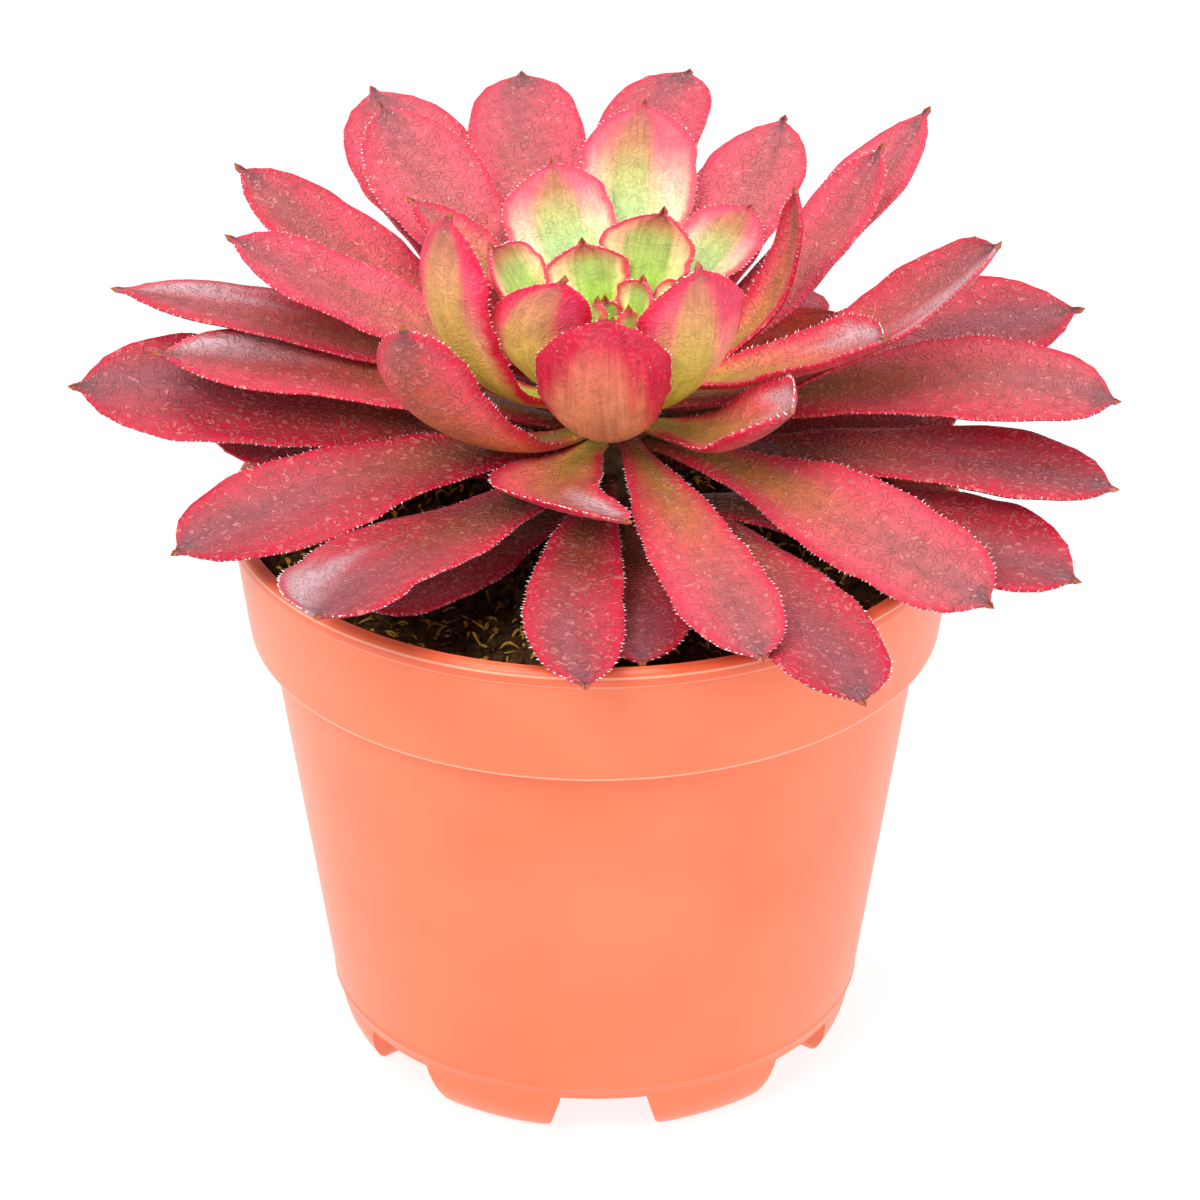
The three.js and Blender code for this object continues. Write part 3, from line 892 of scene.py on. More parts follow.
    def hairs(self, gap: float, reach: float, thick: float,
              draw: np.random.Generator) -> tuple[list[Array], Faces]:
        """Hairs along both margins.

        Args:
            gap: distance between hairs.
            reach: their mean length.
            thick: their mean half-width at the root.
            draw: the seeded source of their small differences.

        Returns:
            Points and faces of three-sided spikes, their roots sunk in the margin.
        """
        points = self.rings()[0][:BLADE.along]
        n = BLADE.across
        spikes: list[Array] = []
        faces: Faces = []
        # each margin's own column of points, and its neighbours on the lower and upper face
        for column, below, above in ((n, n - 1, n + 1), (2 * n + 1, 0, 2 * n)):
            edge = points[:, column]
            inside = (points[:, below] + points[:, above]) / 2
            run = np.concatenate([[0], np.cumsum(np.linalg.norm(np.diff(edge, axis=0), axis=1))])
            place = 0.16 * run[-1]
            while place < run[-1] * 0.985:
                at = point_at(edge, run, place)
                ahead = point_at(edge, run, place + 0.5) - at
                out = at - point_at(inside, run, place)
                out /= max(np.linalg.norm(out), 1e-6)
                ahead /= max(np.linalg.norm(ahead), 1e-6)
                aim = out + ahead * draw.uniform(0.1, 0.6) + draw.normal(0, 0.18, 3)
                aim /= np.linalg.norm(aim)
                first = np.cross(aim, ahead)
                first /= max(np.linalg.norm(first), 1e-6)
                second = np.cross(aim, first)
                size = thick * draw.uniform(0.6, 1.4)
                start = at - out * 0.25
                base = [start + size * (first * math.cos(a) + second * math.sin(a))
                        for a in (0, 2.09, 4.19)]
                k = 4 * len(spikes)
                spikes.append(np.array(base + [at + aim * reach * draw.uniform(0.55, 1.25)]))
                faces += [(k, k + 1, k + 3), (k + 1, k + 2, k + 3), (k + 2, k, k + 3),
                          (k + 2, k + 1, k)]
                place += gap * draw.uniform(0.55, 1.45)
        return spikes, faces


LEAVES: tuple[Leaf, ...] = (
    Leaf("leaf_front_1", -46, 115, 57, 22, 4, -8, 0, -8, 10, 0, 0.5, 0.2, Kind.CRIMSON_WITH_PAINTED_SHADE),
    Leaf("leaf_front_2", 4, 113, 58, 20, 8, -8, 0, 0, 10, 0, 0.5, 0.2, Kind.CRIMSON_WITH_PAINTED_SHADE),
    Leaf("leaf_left_1", -92, 116.5, 70, 20, 12, 2, 0, -12, 10, 0, 0.5, 0.4, Kind.CRIMSON_WITH_PAINTED_SHADE),
    Leaf("leaf_right_1", 67, 114, 86, 26, 9, -4, 0, 8, 12, -0.4, 0.5, 0.1, Kind.CRIMSON_WITH_PAINTED_SHADE),
    Leaf("leaf_front_3", -11, 121.5, 74, 18, 0, -8, 10, 2, 10, 0.4, 0.5, 0.2, Kind.CRIMSON_WITH_PAINTED_SHADE),
    Leaf("leaf_right_2", 102, 119, 60, 18, 8, 2, 0, 18, 12, 0, 0.5, 0.4, Kind.CRIMSON_WITH_PAINTED_SHADE),
    Leaf("leaf_front_4", -42, 123, 93, 27, -2, 12, 8, 6, 12, 0.8, 0.5, 0, Kind.CRIMSON_WITH_PAINTED_SHADE, fold=-1),
    Leaf("leaf_front_5", 28, 117, 86, 26, 12, -16, 0, -8, 10, 0, 0.5, 0, Kind.CRIMSON_WITH_PAINTED_SHADE),
    Leaf("leaf_left_3", -91, 120, 96, 26, 19, 0, 0, -25, 14, 0, 0.6, 0.3, Kind.CRIMSON_WITH_PAINTED_SHADE),
    Leaf("leaf_right_3", 81, 123, 88, 22, 6, 0, -5, 5, 12, -0.5, 0.6, 0, Kind.CRIMSON_WITH_PAINTED_SHADE),
    Leaf("leaf_left_2", -68, 126, 82, 23, 9, -18, 12, -14, 14, -0.4, 0.6, 0.1, Kind.CRIMSON_WITH_PAINTED_SHADE),
    Leaf("leaf_right_9", 132, 123, 54, 22, 16, 4, 0, 0, 12, 0, 0.5, 0.3, Kind.ORANGE_PAINTED_GLOW),
    Leaf("leaf_right_6", 107, 126.4, 86, 26, 16, 5, 0, 22, 12, -0.2, 0.6, 0.6, Kind.CRIMSON_WITH_PAINTED_SHADE),
    Leaf("leaf_right_4", 53, 127.5, 80, 21, 5, -19, -6, 22, 12, 0.2, 0.6, 0, Kind.ROSE),
    Leaf("leaf_right_5", 91, 129, 88, 24, 14, 2, -12, 12, 12, -0.5, 0.5, 0, Kind.ROSE),
    Leaf("leaf_front_6", 15, 129.5, 77, 19, 0, -12, 5, 0, 10, 0.1, 0.5, 0, Kind.ROSE),
    Leaf("leaf_left_5", -89, 128.0, 80, 21, 17.5, 6, 0, -7, 14, 0, 0.5, 0.5, Kind.ROSE, fold=-1),
    Leaf("leaf_left_4", -100, 131, 91, 18, 19, 4, 0, -4, 12, 0, 0.5, 0.8, Kind.ROSE, fold=-1),
    Leaf("leaf_back_3", -147, 130, 93, 28, 22, 19, 0, 0, 10, -0.3, 0.8, 0.3, Kind.BLUSH),
    Leaf("leaf_back_1", 177, 129.5, 96, 20.5, 26, 13, -1, 12, 10, -0.9, 0.6, 0, Kind.BLUSH),
    Leaf("leaf_back_4", 138, 129, 94, 16, 16, 25, 3, 0, 10, 0.1, 0.6, 0.5, Kind.BLUSH),
    Leaf("leaf_right_7", 90, 133, 76, 24, 5, 56, -4, 5, 28, -0.6, 0.5, 0.1, Kind.ROSE, fold=-1),
    Leaf("leaf_back_2", -160, 135.8, 88, 23, 22, 14, -16, 0, 10, -0.1, 0.8, 0, Kind.BLUSH),
    Leaf("leaf_back_5", 130, 132, 71, 16, 12, 46, 2, 0, 12, 0.1, 0.6, 0.4, Kind.BLUSH),
    Leaf("leaf_left_6", -111, 134.5, 78, 20, 16, 40, 0, -12, 12, 0.2, 0.6, 0.4, Kind.ROSE),
    Leaf("leaf_back_6", 149, 136.2, 75, 20, 20, 19, 16, 5, 12, -0.2, 0.6, 0.5, Kind.BLUSH),
    Leaf("leaf_left_7", -98, 139.5, 71, 20, 9, 34, 5, -12, 14, 0.2, 0.6, 0.5, Kind.BLUSH),
    Leaf("leaf_back_7", -138, 138.3, 73, 24, 20, 31, -3, -3, 12, -0.2, 0.6, 0.4, Kind.BLUSH),
    Leaf("leaf_back_8", 175, 138, 65, 23, 26, 26, 0, 0, 14, 0, 0.6, 0.4, Kind.GARDEN),
    Leaf("leaf_back_11", 112, 136, 52, 12, 0, 100, 0, 0, 30, 0, 0.4, 0.5, Kind.CORAL),
    Leaf("leaf_back_12", 148, 140.8, 46, 15, 27, 5, 0, 15, 20, 0.2, 0.5, 0.4, Kind.GARDEN),
    Leaf("leaf_back_10", -124, 140.6, 46, 12, 33, 26, 0, 0, 20, 0, 0.5, 0.4, Kind.CORAL),
    Leaf("leaf_back_9", -160, 141.3, 45, 22, 33, 24, 0, -4, 20, -0.35, 0.6, 0.8, Kind.GARDEN),
    Leaf("leaf_right_8", 78, 138.5, 50, 19, 4, 36, -13, 6, 45, -0.3, 0.4, 0.1, Kind.CORAL, fold=1),
    Leaf("leaf_right_10", 53, 131, 42, 22, 0, 45, -18, 22, 50, 0, 0.4, 0.1, Kind.CORAL, fold=1),
    Leaf("leaf_left_8", -50, 130, 63, 20, -5, 80, 0, 30, 50, 0.2, 0.4, 0.3, Kind.CORAL),
    Leaf("leaf_front_7", -28, 128, 40, 22, 0, 10, 10, 5, 20, 2, 0.4, 0.4, Kind.CORAL, fold=1),
    Leaf("leaf_left_10", -65, 136, 60, 22, 0, 115, 5, 10, 50, 0, 0.5, 0.4, Kind.BRONZE),
    Leaf("leaf_heart_1", -4, 134, 50, 27, -4, 105, 0, 4, 45, 0, 0.3, 0.4, Kind.SHIELD),
    Leaf("leaf_heart_2", 34, 136.5, 45, 25, 14, 108, 0, -3, 40, 0, 0.3, 0.6, Kind.BRONZE),
    Leaf("leaf_heart_3", -37, 139, 42, 21, 9, 105, 6, 12, 40, 0.65, 0.3, 0.5, Kind.BRONZE),
    Leaf("leaf_heart_4", -103, 142.5, 27, 20, 33, 68, 0, -8, 35, 0, 0.3, 0.4, Kind.SPRING),
    Leaf("leaf_heart_5", -153, 144.3, 18, 17, 48, 82, -6, -9, 30, 0, 0.3, 0.6, Kind.SPRING),
    Leaf("leaf_heart_6", 156, 143.5, 25, 20, 48, 82, 0, -3, 30, -0.2, 0.3, 0.6, Kind.SPRING),
    Leaf("leaf_back_13", -122, 117.5, 74, 22, 6, -4, 0, 0, 12, 0, 0.5, 0.3, Kind.CRIMSON_WITH_PAINTED_SHADE),
    Leaf("leaf_back_14", -150, 122.5, 80, 23, 8, -2, 0, 0, 12, 0, 0.5, 0.3, Kind.CRIMSON_WITH_PAINTED_SHADE),
    Leaf("leaf_back_15", -178, 124.6, 78, 23, 8, -4, 0, 0, 12, 0, 0.5, 0.3, Kind.CRIMSON_WITH_PAINTED_SHADE),
    Leaf("leaf_back_16", 154, 119, 80, 23, 6, -4, 0, 0, 12, 0, 0.5, 0.3, Kind.CRIMSON_WITH_PAINTED_SHADE),
)

# The youngest leaves, grown together in the middle: azimuth, height, length, width, pitches.
YOUNG: tuple[tuple[float, ...], ...] = (
    (130, 146, 11.5, 10.5, 60, 85),
    (97, 145.8, 15, 10, 40, 68),
    (-60, 146, 9.5, 5, 75, 95),
    (30, 146, 8.5, 4.5, 70, 92),
    (-150, 146, 7, 6, 70, 92),
    (-10, 146, 6, 4, 75, 95),
)


@dataclass
class Rosette:
    """All the leaves on the stem, with the hairs on their margins."""

    hair_gap: float = 1.35
    hair_reach: float = 0.55
    hair_half: float = 0.17
    leaves: tuple[Leaf, ...] = LEAVES

    def build(self) -> None:
        """Make every blade, the heart and the hairs."""
        skin = SucculentSkin().make()
        for leaf in self.leaves:
            leaf.build(skin)
        self.build_heart(skin)
        self.build_hairs(Cilium().make())

    def young(self) -> list[Leaf]:
        """The youngest leaves."""
        return [Leaf("heart", a, h, length, width, p0, p1, 0, 0, 40, 0, 0.2, 0.5, Kind.SPRING, root=3.2)
                for a, h, length, width, p0, p1 in YOUNG]

    def build_heart(self, skin: bpy.types.Material) -> None:
        """Make the bud and the youngest leaves as one piece.

        Args:
            skin: the leaf finish.
        """
        shapes: list[tuple[Array, Faces]] = []
        values: list[dict[tuple[str, str], Array]] = []
        for leaf in self.young():
            rings, t, u, half = leaf.rings()
            shapes.append((rings.reshape(-1, 3), loft(rings)))
            values.append(leaf.values(t, u, half))
        shapes.append(self.bud())
        flat = np.zeros(len(shapes[-1][0]))
        values.append(self.young()[0].values(flat + 0.3, flat, flat + 6.0))
        piece = make_piece("heart_cluster", *gather(shapes), skin, "leaf_green", "heart")
        lend(piece.data, values)

    def bud(self) -> tuple[Array, Faces]:
        """The rounded bud that the youngest leaves stand on."""
        profile = [(6.0, 0.4), (5.9, 1.8), (5.4, 3.0), (4.2, 4.2), (2.6, 5.2), (0.8, 6.0)]
        rings = np.array([[AXIS.around(r, a, AXIS.top + z) for a in range(0, 360, 15)]
                          for r, z in profile])
        return rings.reshape(-1, 3), loft(rings)

    def build_hairs(self, finish: bpy.types.Material) -> None:
        """Make the hairs of every leaf as one piece.

        Args:
            finish: the hairs' finish.
        """
        draw = np.random.default_rng(7)
        shapes = []
        for leaf in (*self.leaves, *self.young()):
            gap, reach = (0.8, 0.5) if leaf.width < 10 else (1, 1)
            spikes, sides = leaf.hairs(
                self.hair_gap * gap, self.hair_reach * reach, self.hair_half, draw)
            shapes.append((np.vstack(spikes), sides))
        make_piece("margin_hairs", *gather(shapes), finish, "leaf_red")


@dataclass
class Stem:
    """The short stout stalk, ringed with the scars of fallen leaves."""

    around: int = 48
    rings: int = 90
    scar_mm: float = 3.4         # from one ring of scars to the next
    scar_depth: float = 0.22

    def build(self) -> None:
        """Make the stalk."""
        draw = np.random.default_rng(3)
        shift = draw.uniform(0, 6.28, self.around)
        rings = []
        for z in np.linspace(AXIS.foot, AXIS.top, self.rings):
            ring = []
            for k in range(self.around):
                a = 360 * k / self.around
                turn = math.pi * (z + 1.2 * math.sin(3 * math.radians(a))) / self.scar_mm
                scar = self.scar_depth * abs(math.sin(turn)) + 0.06 * math.sin(shift[k] + z)
                ring.append(AXIS.around(AXIS.radius(z) - 0.3 + scar, a, z))
            rings.append(ring)
        points = np.array(rings)
        make_piece("stem_stalk", points, loft(points), SucculentBark().make(), "stem_skin", "stem")


# ------------------------------------------------------------------------- pot and soil
@dataclass
class Pot:
    """The moulded nursery pot: seven feet, a tapering body, a deep band and a rolled lip."""

    around: int = 252                                # corners in one turn
    wall: float = 1.5
    floor_top: float = 12.3
    body_foot: tuple[float, float] = (50.4, 10.0)    # each pair is a radius and a height
    mould_line: tuple[float, float] = (51.4, 12.9)
    body_top: float = 62.6
    band_foot: tuple[float, float] = (66.2, 88.6)
    band_top: tuple[float, float] = (69.0, 109.4)
    lip: tuple[float, float] = (70.0, 110.6)
    rim: float = 113.0
    rim_inner: float = 67.1
    toe: float = 44.5                                # radius at which a foot meets the table
    feet: int = 7
    first_foot: float = -23.8                        # degrees from the front
    foot_gap: float = 18.5                           # degrees between two feet
    gap_slant: float = 2.6
    drain: tuple[float, float] = (4.2, 33.0)         # a hole's radius, and that of their circle
    drains: int = 6
    crease: float = 38.0                             # degrees from which an edge looks sharp

    def profile(self) -> list[tuple[float, float]]:
        """Radius and height round the shell's section, with the fine moulded lines."""
        r0, z0 = self.body_foot
        r1, z1 = self.mould_line
        rb, zb = self.band_foot
        rt, zt = self.band_top
        rl, zl = self.lip
        shelf = zb + self.wall
        slope = (self.body_top - r1) / (zb - z1)
        body = [(r1 + slope * (z - z1), z) for z in (z1 + 1.2, 20, 32, 44, 56, 68, 80, zb - 0.9)]
        return [
            (0.3, z0), (r0 - 0.6, z0), (r0, z0 + 0.3), (r1 - 0.15, z1 - 0.5), (r1 + 0.12, z1 - 0.2),
            (r1 + 0.16, z1 + 0.15), (r1 + 0.02, z1 + 0.5), *body,
            (self.body_top - 0.02, zb - 0.25), (self.body_top + 0.35, zb), (rb - 0.45, zb),
            (rb - 0.1, zb + 0.12), (rb + 0.02, zb + 0.45), (rb + 0.12, zb + 1.2),
            (rb + (rt - rb) * 0.3, zb + (zt - zb) * 0.3),
            (rb + (rt - rb) * 0.65, zb + (zt - zb) * 0.65),
            (rt - 0.06, zt - 0.9), (rt - 0.02, zt - 0.35), (rt, zt), (rt + 0.12, zt + 0.2),
            (rt + 0.5, zt + 0.4), (rl - 0.12, zl - 0.45), (rl, zl - 0.2), (rl, zl + 0.7),
            (rl - 0.05, zl + 1.1), (rl - 0.3, self.rim - 0.6), (rl - 0.85, self.rim - 0.1),
            (rl - 1.3, self.rim),
            (self.rim_inner + 0.4, self.rim), (self.rim_inner + 0.05, self.rim - 0.3),
            (self.rim_inner - 0.1, self.rim - 1.2), (self.rim_inner - 0.3, self.rim - 2.6),
            (rb - self.wall, shelf), (self.body_top - self.wall, shelf),
            (r1 - self.wall, self.floor_top), (0.3, self.floor_top),
        ]

    def foot_profile(self) -> list[tuple[float, float]]:
        """Radius and height round the section of the ring that the feet are cut from."""
        r, z = self.body_foot
        return [
            (self.toe - 3, 0.0), (self.toe - 0.3, 0.0), (self.toe + 0.5, 0.12), (r - 3.8, 1.3),
            (r - 2.7, 2.4), (r - 1.8, 3.8), (r - 1.0, 5.4), (r - 0.5, 7.0), (r - 0.15, 8.6),
            (r + 0.02, z + 0.5),
            (r - 2.2, z + 0.5), (r - 2.7, 7.4), (r - 4.0, 4.6), (r - 5.8, 2.8), (self.toe - 3, 1.8),
        ]

    def turned(self, profile: Sequence[tuple[float, float]], close: bool) -> tuple[Array, Faces]:
        """Turn a section about the pot's axis.

        Args:
            profile: radius and height pairs.
            close: whether the section is a loop; otherwise its two ends get a small disc.

        Returns:
            Points and faces.
        """
        angles = np.radians(np.arange(self.around) * 360 / self.around)
        rings = np.array([[(r * math.sin(a), -r * math.cos(a), z) for a in angles] for r, z in profile])
        faces = loft(rings, closed_ends=not close)
        if close:
            n, last = self.around, len(profile) - 1
            faces += [(last * n + j, last * n + (j + 1) % n, (j + 1) % n, j) for j in range(n)]
        return rings.reshape(-1, 3), faces

    def gap_cutter(self, azimuth: float) -> bpy.types.Object:
        """The block that leaves one gap between two feet.

        Args:
            azimuth: where the gap is, in degrees.

        Returns:
            The cutting body.
        """
        r, top = self.body_foot
        half = r * math.tan(math.radians(self.foot_gap / 2))
        s = self.gap_slant
        side = [(half, top), (half + 0.45 * s, 5.5), (half + 0.7 * s, 2.4), (half + s, 1.0),
                (half + 2 * s, -1)]
        loop = [(-x, z) for x, z in side] + side[::-1]
        turn = Matrix.Rotation(math.radians(azimuth), 3, "Z")
        rings = np.array([[turn @ Vector((x, -y, z)) for x, z in loop] for y in (36.0, 56.0)])
        return self.tool("gap_cutter", rings.reshape(-1, 3), loft(rings))

    def drain_cutter(self, azimuth: float) -> bpy.types.Object:
        """The plug that leaves one drain hole.

        Args:
            azimuth: where the hole is, in degrees.

        Returns:
            The cutting body.
        """
        radius, circle = self.drain
        a = math.radians(azimuth)
        x, y = circle * math.sin(a), -circle * math.cos(a)
        rings = np.array([[(x + radius * math.cos(b), y + radius * math.sin(b), z)
                           for b in np.radians(np.arange(0, 360, 12))] for z in (6.0, 16.0)])
        return self.tool("drain_cutter", rings.reshape(-1, 3), loft(rings))

    def tool(self, name: str, points: Array, faces: Faces) -> bpy.types.Object:
        """A body that is joined to the pot or cut from it, and then removed.

        Args:
            name: what it is called.
            points: its corners, in millimetres in the pot's frame.
            faces: corner numbers of each face.

        Returns:
            The body.
        """
        mesh = bpy.data.meshes.new(name)
        axis = pot_axis()
        mesh.from_pydata([Vector(p) * MM + axis for p in points], [], faces)
        body = bpy.data.objects.new(name, mesh)
        bpy.context.scene.collection.objects.link(body)
        return body

    def combine(self, piece: bpy.types.Object, other: bpy.types.Object, how: str) -> None:
        """Join a body to a piece or cut it away, then remove the body.

        Args:
            piece: what stays.
            other: the body.
            how: UNION or DIFFERENCE.
        """
        change = piece.modifiers.new(how.lower(), "BOOLEAN")
        change.operation, change.solver, change.object = how, "EXACT", other
        bpy.context.view_layer.update()
        changed = piece.evaluated_get(bpy.context.evaluated_depsgraph_get())
        done = bpy.data.meshes.new_from_object(changed)
        piece.modifiers.remove(change)
        piece.data = done
        bpy.data.objects.remove(other)

    def build(self) -> None:
        """Make the pot: feet, shell, drain holes and softened edges."""
        finish = MouldedPolypropylene().make()
        points, faces = self.turned(self.foot_profile(), close=True)
        feet = self.tool("feet_ring", points, faces)
        pitch = 360 / self.feet
        for k in range(self.feet):
            self.combine(feet, self.gap_cutter(self.first_foot + (k + 0.5) * pitch), "DIFFERENCE")
        points, faces = self.turned(self.profile(), close=False)
        pot = make_piece("pot_moulding", points, faces, finish, "pot_plastic", "pot")
        self.combine(pot, feet, "UNION")
        for k in range(self.drains):
            self.combine(pot, self.drain_cutter((k + 0.5) * 360 / self.drains), "DIFFERENCE")
        pot.data.materials.clear()
        pot.data.materials.append(finish)
        pot.data.polygons.foreach_set("use_smooth", [True] * len(pot.data.polygons))
        pot.data.set_sharp_from_angle(angle=math.radians(self.crease))
        LOG.info("pot_moulding: %d faces after cutting", len(pot.data.polygons))


@dataclass
class Soil:
    """Compost that fills the pot: a lumpy top with loose crumbs and golden fibres."""

    edge: float = 100.6              # heights at the wall and in the middle
    crown: float = 104.6
    edge_radius: float = 65.7
    foot: tuple[float, float] = (58.8, 84.0)
    shoulder: tuple[float, float] = (63.8, 91.0)
    lump: float = 0.9
    grit: float = 0.22
    around: int = 180
    reach: float = 64.0              # how far out crumbs and fibres start
    crumbs: int = 2300
    small_share: float = 0.85
    small_mm: tuple[float, float] = (0.5, 1.3)
    large_mm: tuple[float, float] = (1.3, 2.1)
    fibres: int = 1500
    fibre_mm: tuple[float, float] = (0.6, 3.6)
    fibre_half: tuple[float, float] = (0.18, 0.5)
    fibre_steps: int = 6

    def height(self, radius: float | Array, angle: float | Array) -> Array:
        """Height of the soil, with its fine lumps.

        Args:
            radius: distance from the pot's axis.
            angle: from +X, in radians.

        Returns:
            The height.
        """
        share = np.asarray(radius) / self.edge_radius
        mound = self.crown + (self.edge - self.crown) * share * share
        lumps, fine = (sum(np.sin(a * angle + b * share) for a, b in waves)
                       for waves in (((3, 9), (7, -14), (12, 23)),
                                     ((31, 61), (53, -47), (19, -83), (71, 29))))
        return mound + (self.lump / 2 * lumps + self.grit * fine) * np.minimum(1, 4 * (1 - share))

    def build(self) -> None:
        """Make the soil body, its crumbs and its fibres."""
        compost = DampCompost().make()
        angles = np.arange(self.around) * 2 * math.pi / self.around
        levels = [self.foot, self.shoulder, (self.edge_radius, self.edge)]
        levels += [(r, self.height(r, angles)) for r in self.edge_radius * np.linspace(1, 0, 60)[1:-1]]
        body = np.array([np.stack([r * np.cos(angles), r * np.sin(angles), 0 * angles + z], -1)
                         for r, z in levels])
        make_piece("soil_body", body, loft(body), compost, "soil", "soil", sharp=180)
        draw = np.random.default_rng(11)
        self.build_crumbs(compost, draw)
        self.build_fibres(CoirFibre().make(), draw)

    def spot(self, draw: np.random.Generator) -> Array:
        """A random point on the soil, off the stem.

        Args:
            draw: the seeded source of chance.

        Returns:
            The point.
        """
        while True:
            r, a = self.reach * math.sqrt(draw.uniform()), draw.uniform(0, 2 * math.pi)
            x, y = r * math.cos(a), r * math.sin(a)
            if math.hypot(x - AXIS.x, y) > AXIS.foot_radius + 1.5:
                return np.array([x, y, float(self.height(r, a))])

    def build_crumbs(self, finish: bpy.types.Material, draw: np.random.Generator) -> None:
        """Scatter irregular crumbs half sunk in the soil: twenty-sided, pulled out of shape.

        Args:
            finish: the crumbs' finish.
            draw: the seeded source of chance.
        """
        gold = (1 + math.sqrt(5)) / 2
        tips = np.array([np.roll((s, t * gold, 0), k)
                         for k in range(3) for s in (-1, 1) for t in (-1, 1)])
        tips /= np.linalg.norm(tips[0])
        shape = []
        for a, b, c in itertools.combinations(range(12), 3):
            one, two, three = tips[a], tips[b], tips[c]
            if max(np.linalg.norm(side) for side in (one - two, two - three, one - three)) < 1.1:
                outward = np.dot(np.cross(two - one, three - one), one) > 0
                shape.append((a, b, c) if outward else (a, c, b))
        shapes = []
        for _ in range(self.crumbs):
            sizes = self.small_mm if draw.uniform() < self.small_share else self.large_mm
            size = draw.uniform(*sizes)
            stretch = draw.uniform(0.55, 1.25, 3) * size
            angle, about = draw.uniform(0, 6.28), Vector(draw.normal(0, 1, 3)).normalized()
            turn = np.array(Matrix.Rotation(angle, 3, about))
            rough = tips * draw.uniform(0.75, 1.2, (12, 1))
            shapes.append(((rough * stretch) @ turn.T + self.spot(draw) + (0, 0, 0.25 * size), shape))
        make_piece("soil_crumbs", *gather(shapes), finish, "soil", sharp=50)

    def build_fibres(self, finish: bpy.types.Material, draw: np.random.Generator) -> None:
        """Lay short curly fibres on the soil.

        Args:
            finish: the fibres' finish.
            draw: the seeded source of chance.
        """
        shapes = []
        for _ in range(self.fibres):
            at = self.spot(draw)
            course, turn = draw.uniform(0, 6.28), draw.normal(0, 0.12)
            step = draw.uniform(*self.fibre_mm) / self.fibre_steps
            thick = draw.uniform(*self.fibre_half)
            lift = draw.uniform(0.1, 0.9)
            rings = []
            for share in np.linspace(0, 1, self.fibre_steps + 1):
                course += turn * 0.6
                at = at + np.array([math.cos(course) * step, math.sin(course) * step, 0])
                r, a = min(math.hypot(at[0], at[1]), self.reach + 0.5), math.atan2(at[1], at[0])
                at = np.array([r * math.cos(a), r * math.sin(a),
                               float(self.height(r, a)) + 0.3 + lift * math.sin(math.pi * share)])
                width = thick * (0.6 + 0.4 * math.sin(math.pi * min(0.95, share + 0.05)))
                side = np.array([-math.sin(course), math.cos(course), 0.0]) * width
                up = np.array([0, 0, width * 0.7])
                rings.append([at + side, at + up, at - side, at - up])
            shape = np.array(rings)
            shapes.append((shape.reshape(-1, 3), loft(shape)))
        make_piece("soil_fibres", *gather(shapes), finish, "soil")


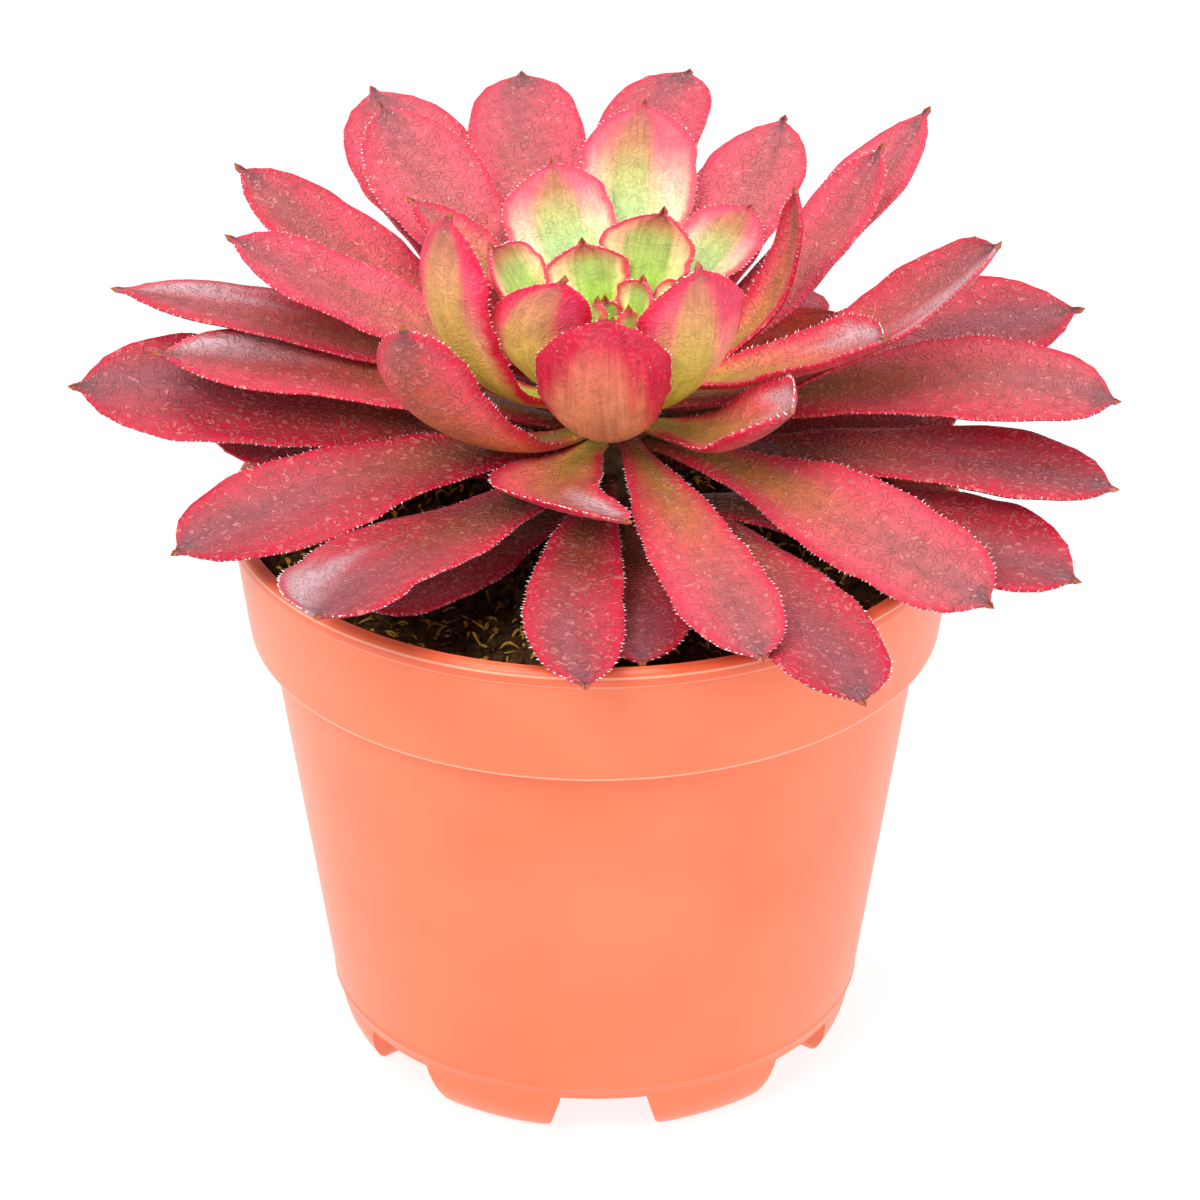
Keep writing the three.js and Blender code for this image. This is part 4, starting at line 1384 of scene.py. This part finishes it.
# ------------------------------------------------------------------------------- studio
@dataclass
class Studio:
    """White paper, a bright tent of light and the camera of the photograph."""

    lens: float = 180.0
    sensor: float = 36.0
    tilt: float = 27.87
    camera_at: tuple[float, float, float] = (0.957, -1018.73, 629.83)
    floor_reach: float = 6.0     # metres, so that no edge of the paper is seen from low down
    wall: tuple[float, float] = (0.1, 1.0)    # the tent's bright wall: where it starts to dim, strength
    roof: tuple[float, float] = (0.45, 0.24)  # its dimmer roof, likewise
    key_power: float = 25.0
    # name, place in metres, size in metres, share of the key's power, colour
    lamps: tuple[tuple[str, tuple[float, float, float], float, float, str], ...] = (
        ("key_light", (-0.7, -1.1, 1.5), 0.9, 1.0, "#fffaf5"),
        ("fill_light", (1.2, -0.6, 0.8), 1.0, 0.3, "#ffffff"),
        ("top_light", (0.1, 0.2, 1.6), 1.2, 0.75, "#ffffff"))

    def build(self) -> None:
        """Set up the floor, the lights and the camera."""
        self.build_floor()
        self.build_lights()
        self.build_camera()

    def build_floor(self) -> None:
        """Lay the paper."""
        mesh = bpy.data.meshes.new("paper_floor")
        signs = ((-1, -1), (1, -1), (1, 1), (-1, 1))
        mesh.from_pydata([(x * self.floor_reach, y * self.floor_reach, 0) for x, y in signs],
                         [], [(0, 1, 2, 3)])
        mesh.materials.append(StudioPaper().make())
        floor = bpy.data.objects.new("paper_floor", mesh)
        bpy.context.scene.collection.objects.link(floor)

    def area(self, name: str, at: tuple[float, float, float], size: float, power: float,
             colour: str) -> None:
        """Hang one soft light that looks at the plant.

        Args:
            name: what it is called.
            at: where it hangs, in metres.
            size: its side, in metres.
            power: its power, in watts.
            colour: its sRGB hex colour.
        """
        light = bpy.data.lights.new(name, "AREA")
        light.shape, light.size, light.energy = "SQUARE", size, power
        light.color = linear(colour)[:3]
        lamp = bpy.data.objects.new(name, light)
        lamp.location = at
        lamp.rotation_euler = (Vector((0, 0, 0.1)) - Vector(at)).to_track_quat("-Z", "Y").to_euler()
        bpy.context.scene.collection.objects.link(lamp)

    def build_lights(self) -> None:
        """Light the tent: bright walls, a dimmer roof and a large soft key from the front left."""
        world = bpy.data.worlds.new("white_tent")
        world.use_nodes = True
        tree = world.node_tree
        cloth = next(n for n in tree.nodes if n.type == "BACKGROUND")
        cloth.inputs["Color"].default_value = linear("#ffffff")
        place = add_node(tree, "ShaderNodeTexCoord")
        apart = add_node(tree, "ShaderNodeSeparateXYZ", {"Vector": place.outputs["Generated"]})
        strength = add_node(tree, "ShaderNodeMapRange", {
            "Value": apart.outputs["Z"], "From Min": self.wall[0], "From Max": self.roof[0],
            "To Min": self.wall[1], "To Max": self.roof[1]})
        tree.links.new(strength.outputs["Result"], cloth.inputs["Strength"])
        bpy.context.scene.world = world
        for name, at, size, share, colour in self.lamps:
            self.area(name, at, size, self.key_power * share, colour)

    def build_camera(self) -> None:
        """Place the camera where the photograph was taken from."""
        data = bpy.data.cameras.new("photo_camera")
        data.lens, data.sensor_width = self.lens, self.sensor
        data.clip_start, data.clip_end = 0.05, 20.0
        camera = bpy.data.objects.new("photo_camera", data)
        camera.location = Vector(self.camera_at) * MM + pot_axis()
        camera.rotation_euler = (math.radians(90 - self.tilt), 0, 0)
        bpy.context.scene.collection.objects.link(camera)
        bpy.context.scene.camera = camera
        view = bpy.context.scene.view_settings
        view.view_transform, view.look = "Standard", "None"


def corners(box: Any) -> list[list[float]]:
    """A box's two corners as plain numbers."""
    return [[float(v) for v in corner] for corner in box]


def main() -> None:
    """Build the potted plant and the studio; each piece logs its face count."""
    logging.basicConfig(level=logging.INFO, format="%(name)s: %(message)s")
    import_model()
    Pot().build()
    Soil().build()
    Stem().build()
    Rosette().build()
    Studio().build()
    LOG.info("all pieces are in place")


if __name__ == "__main__":
    main()
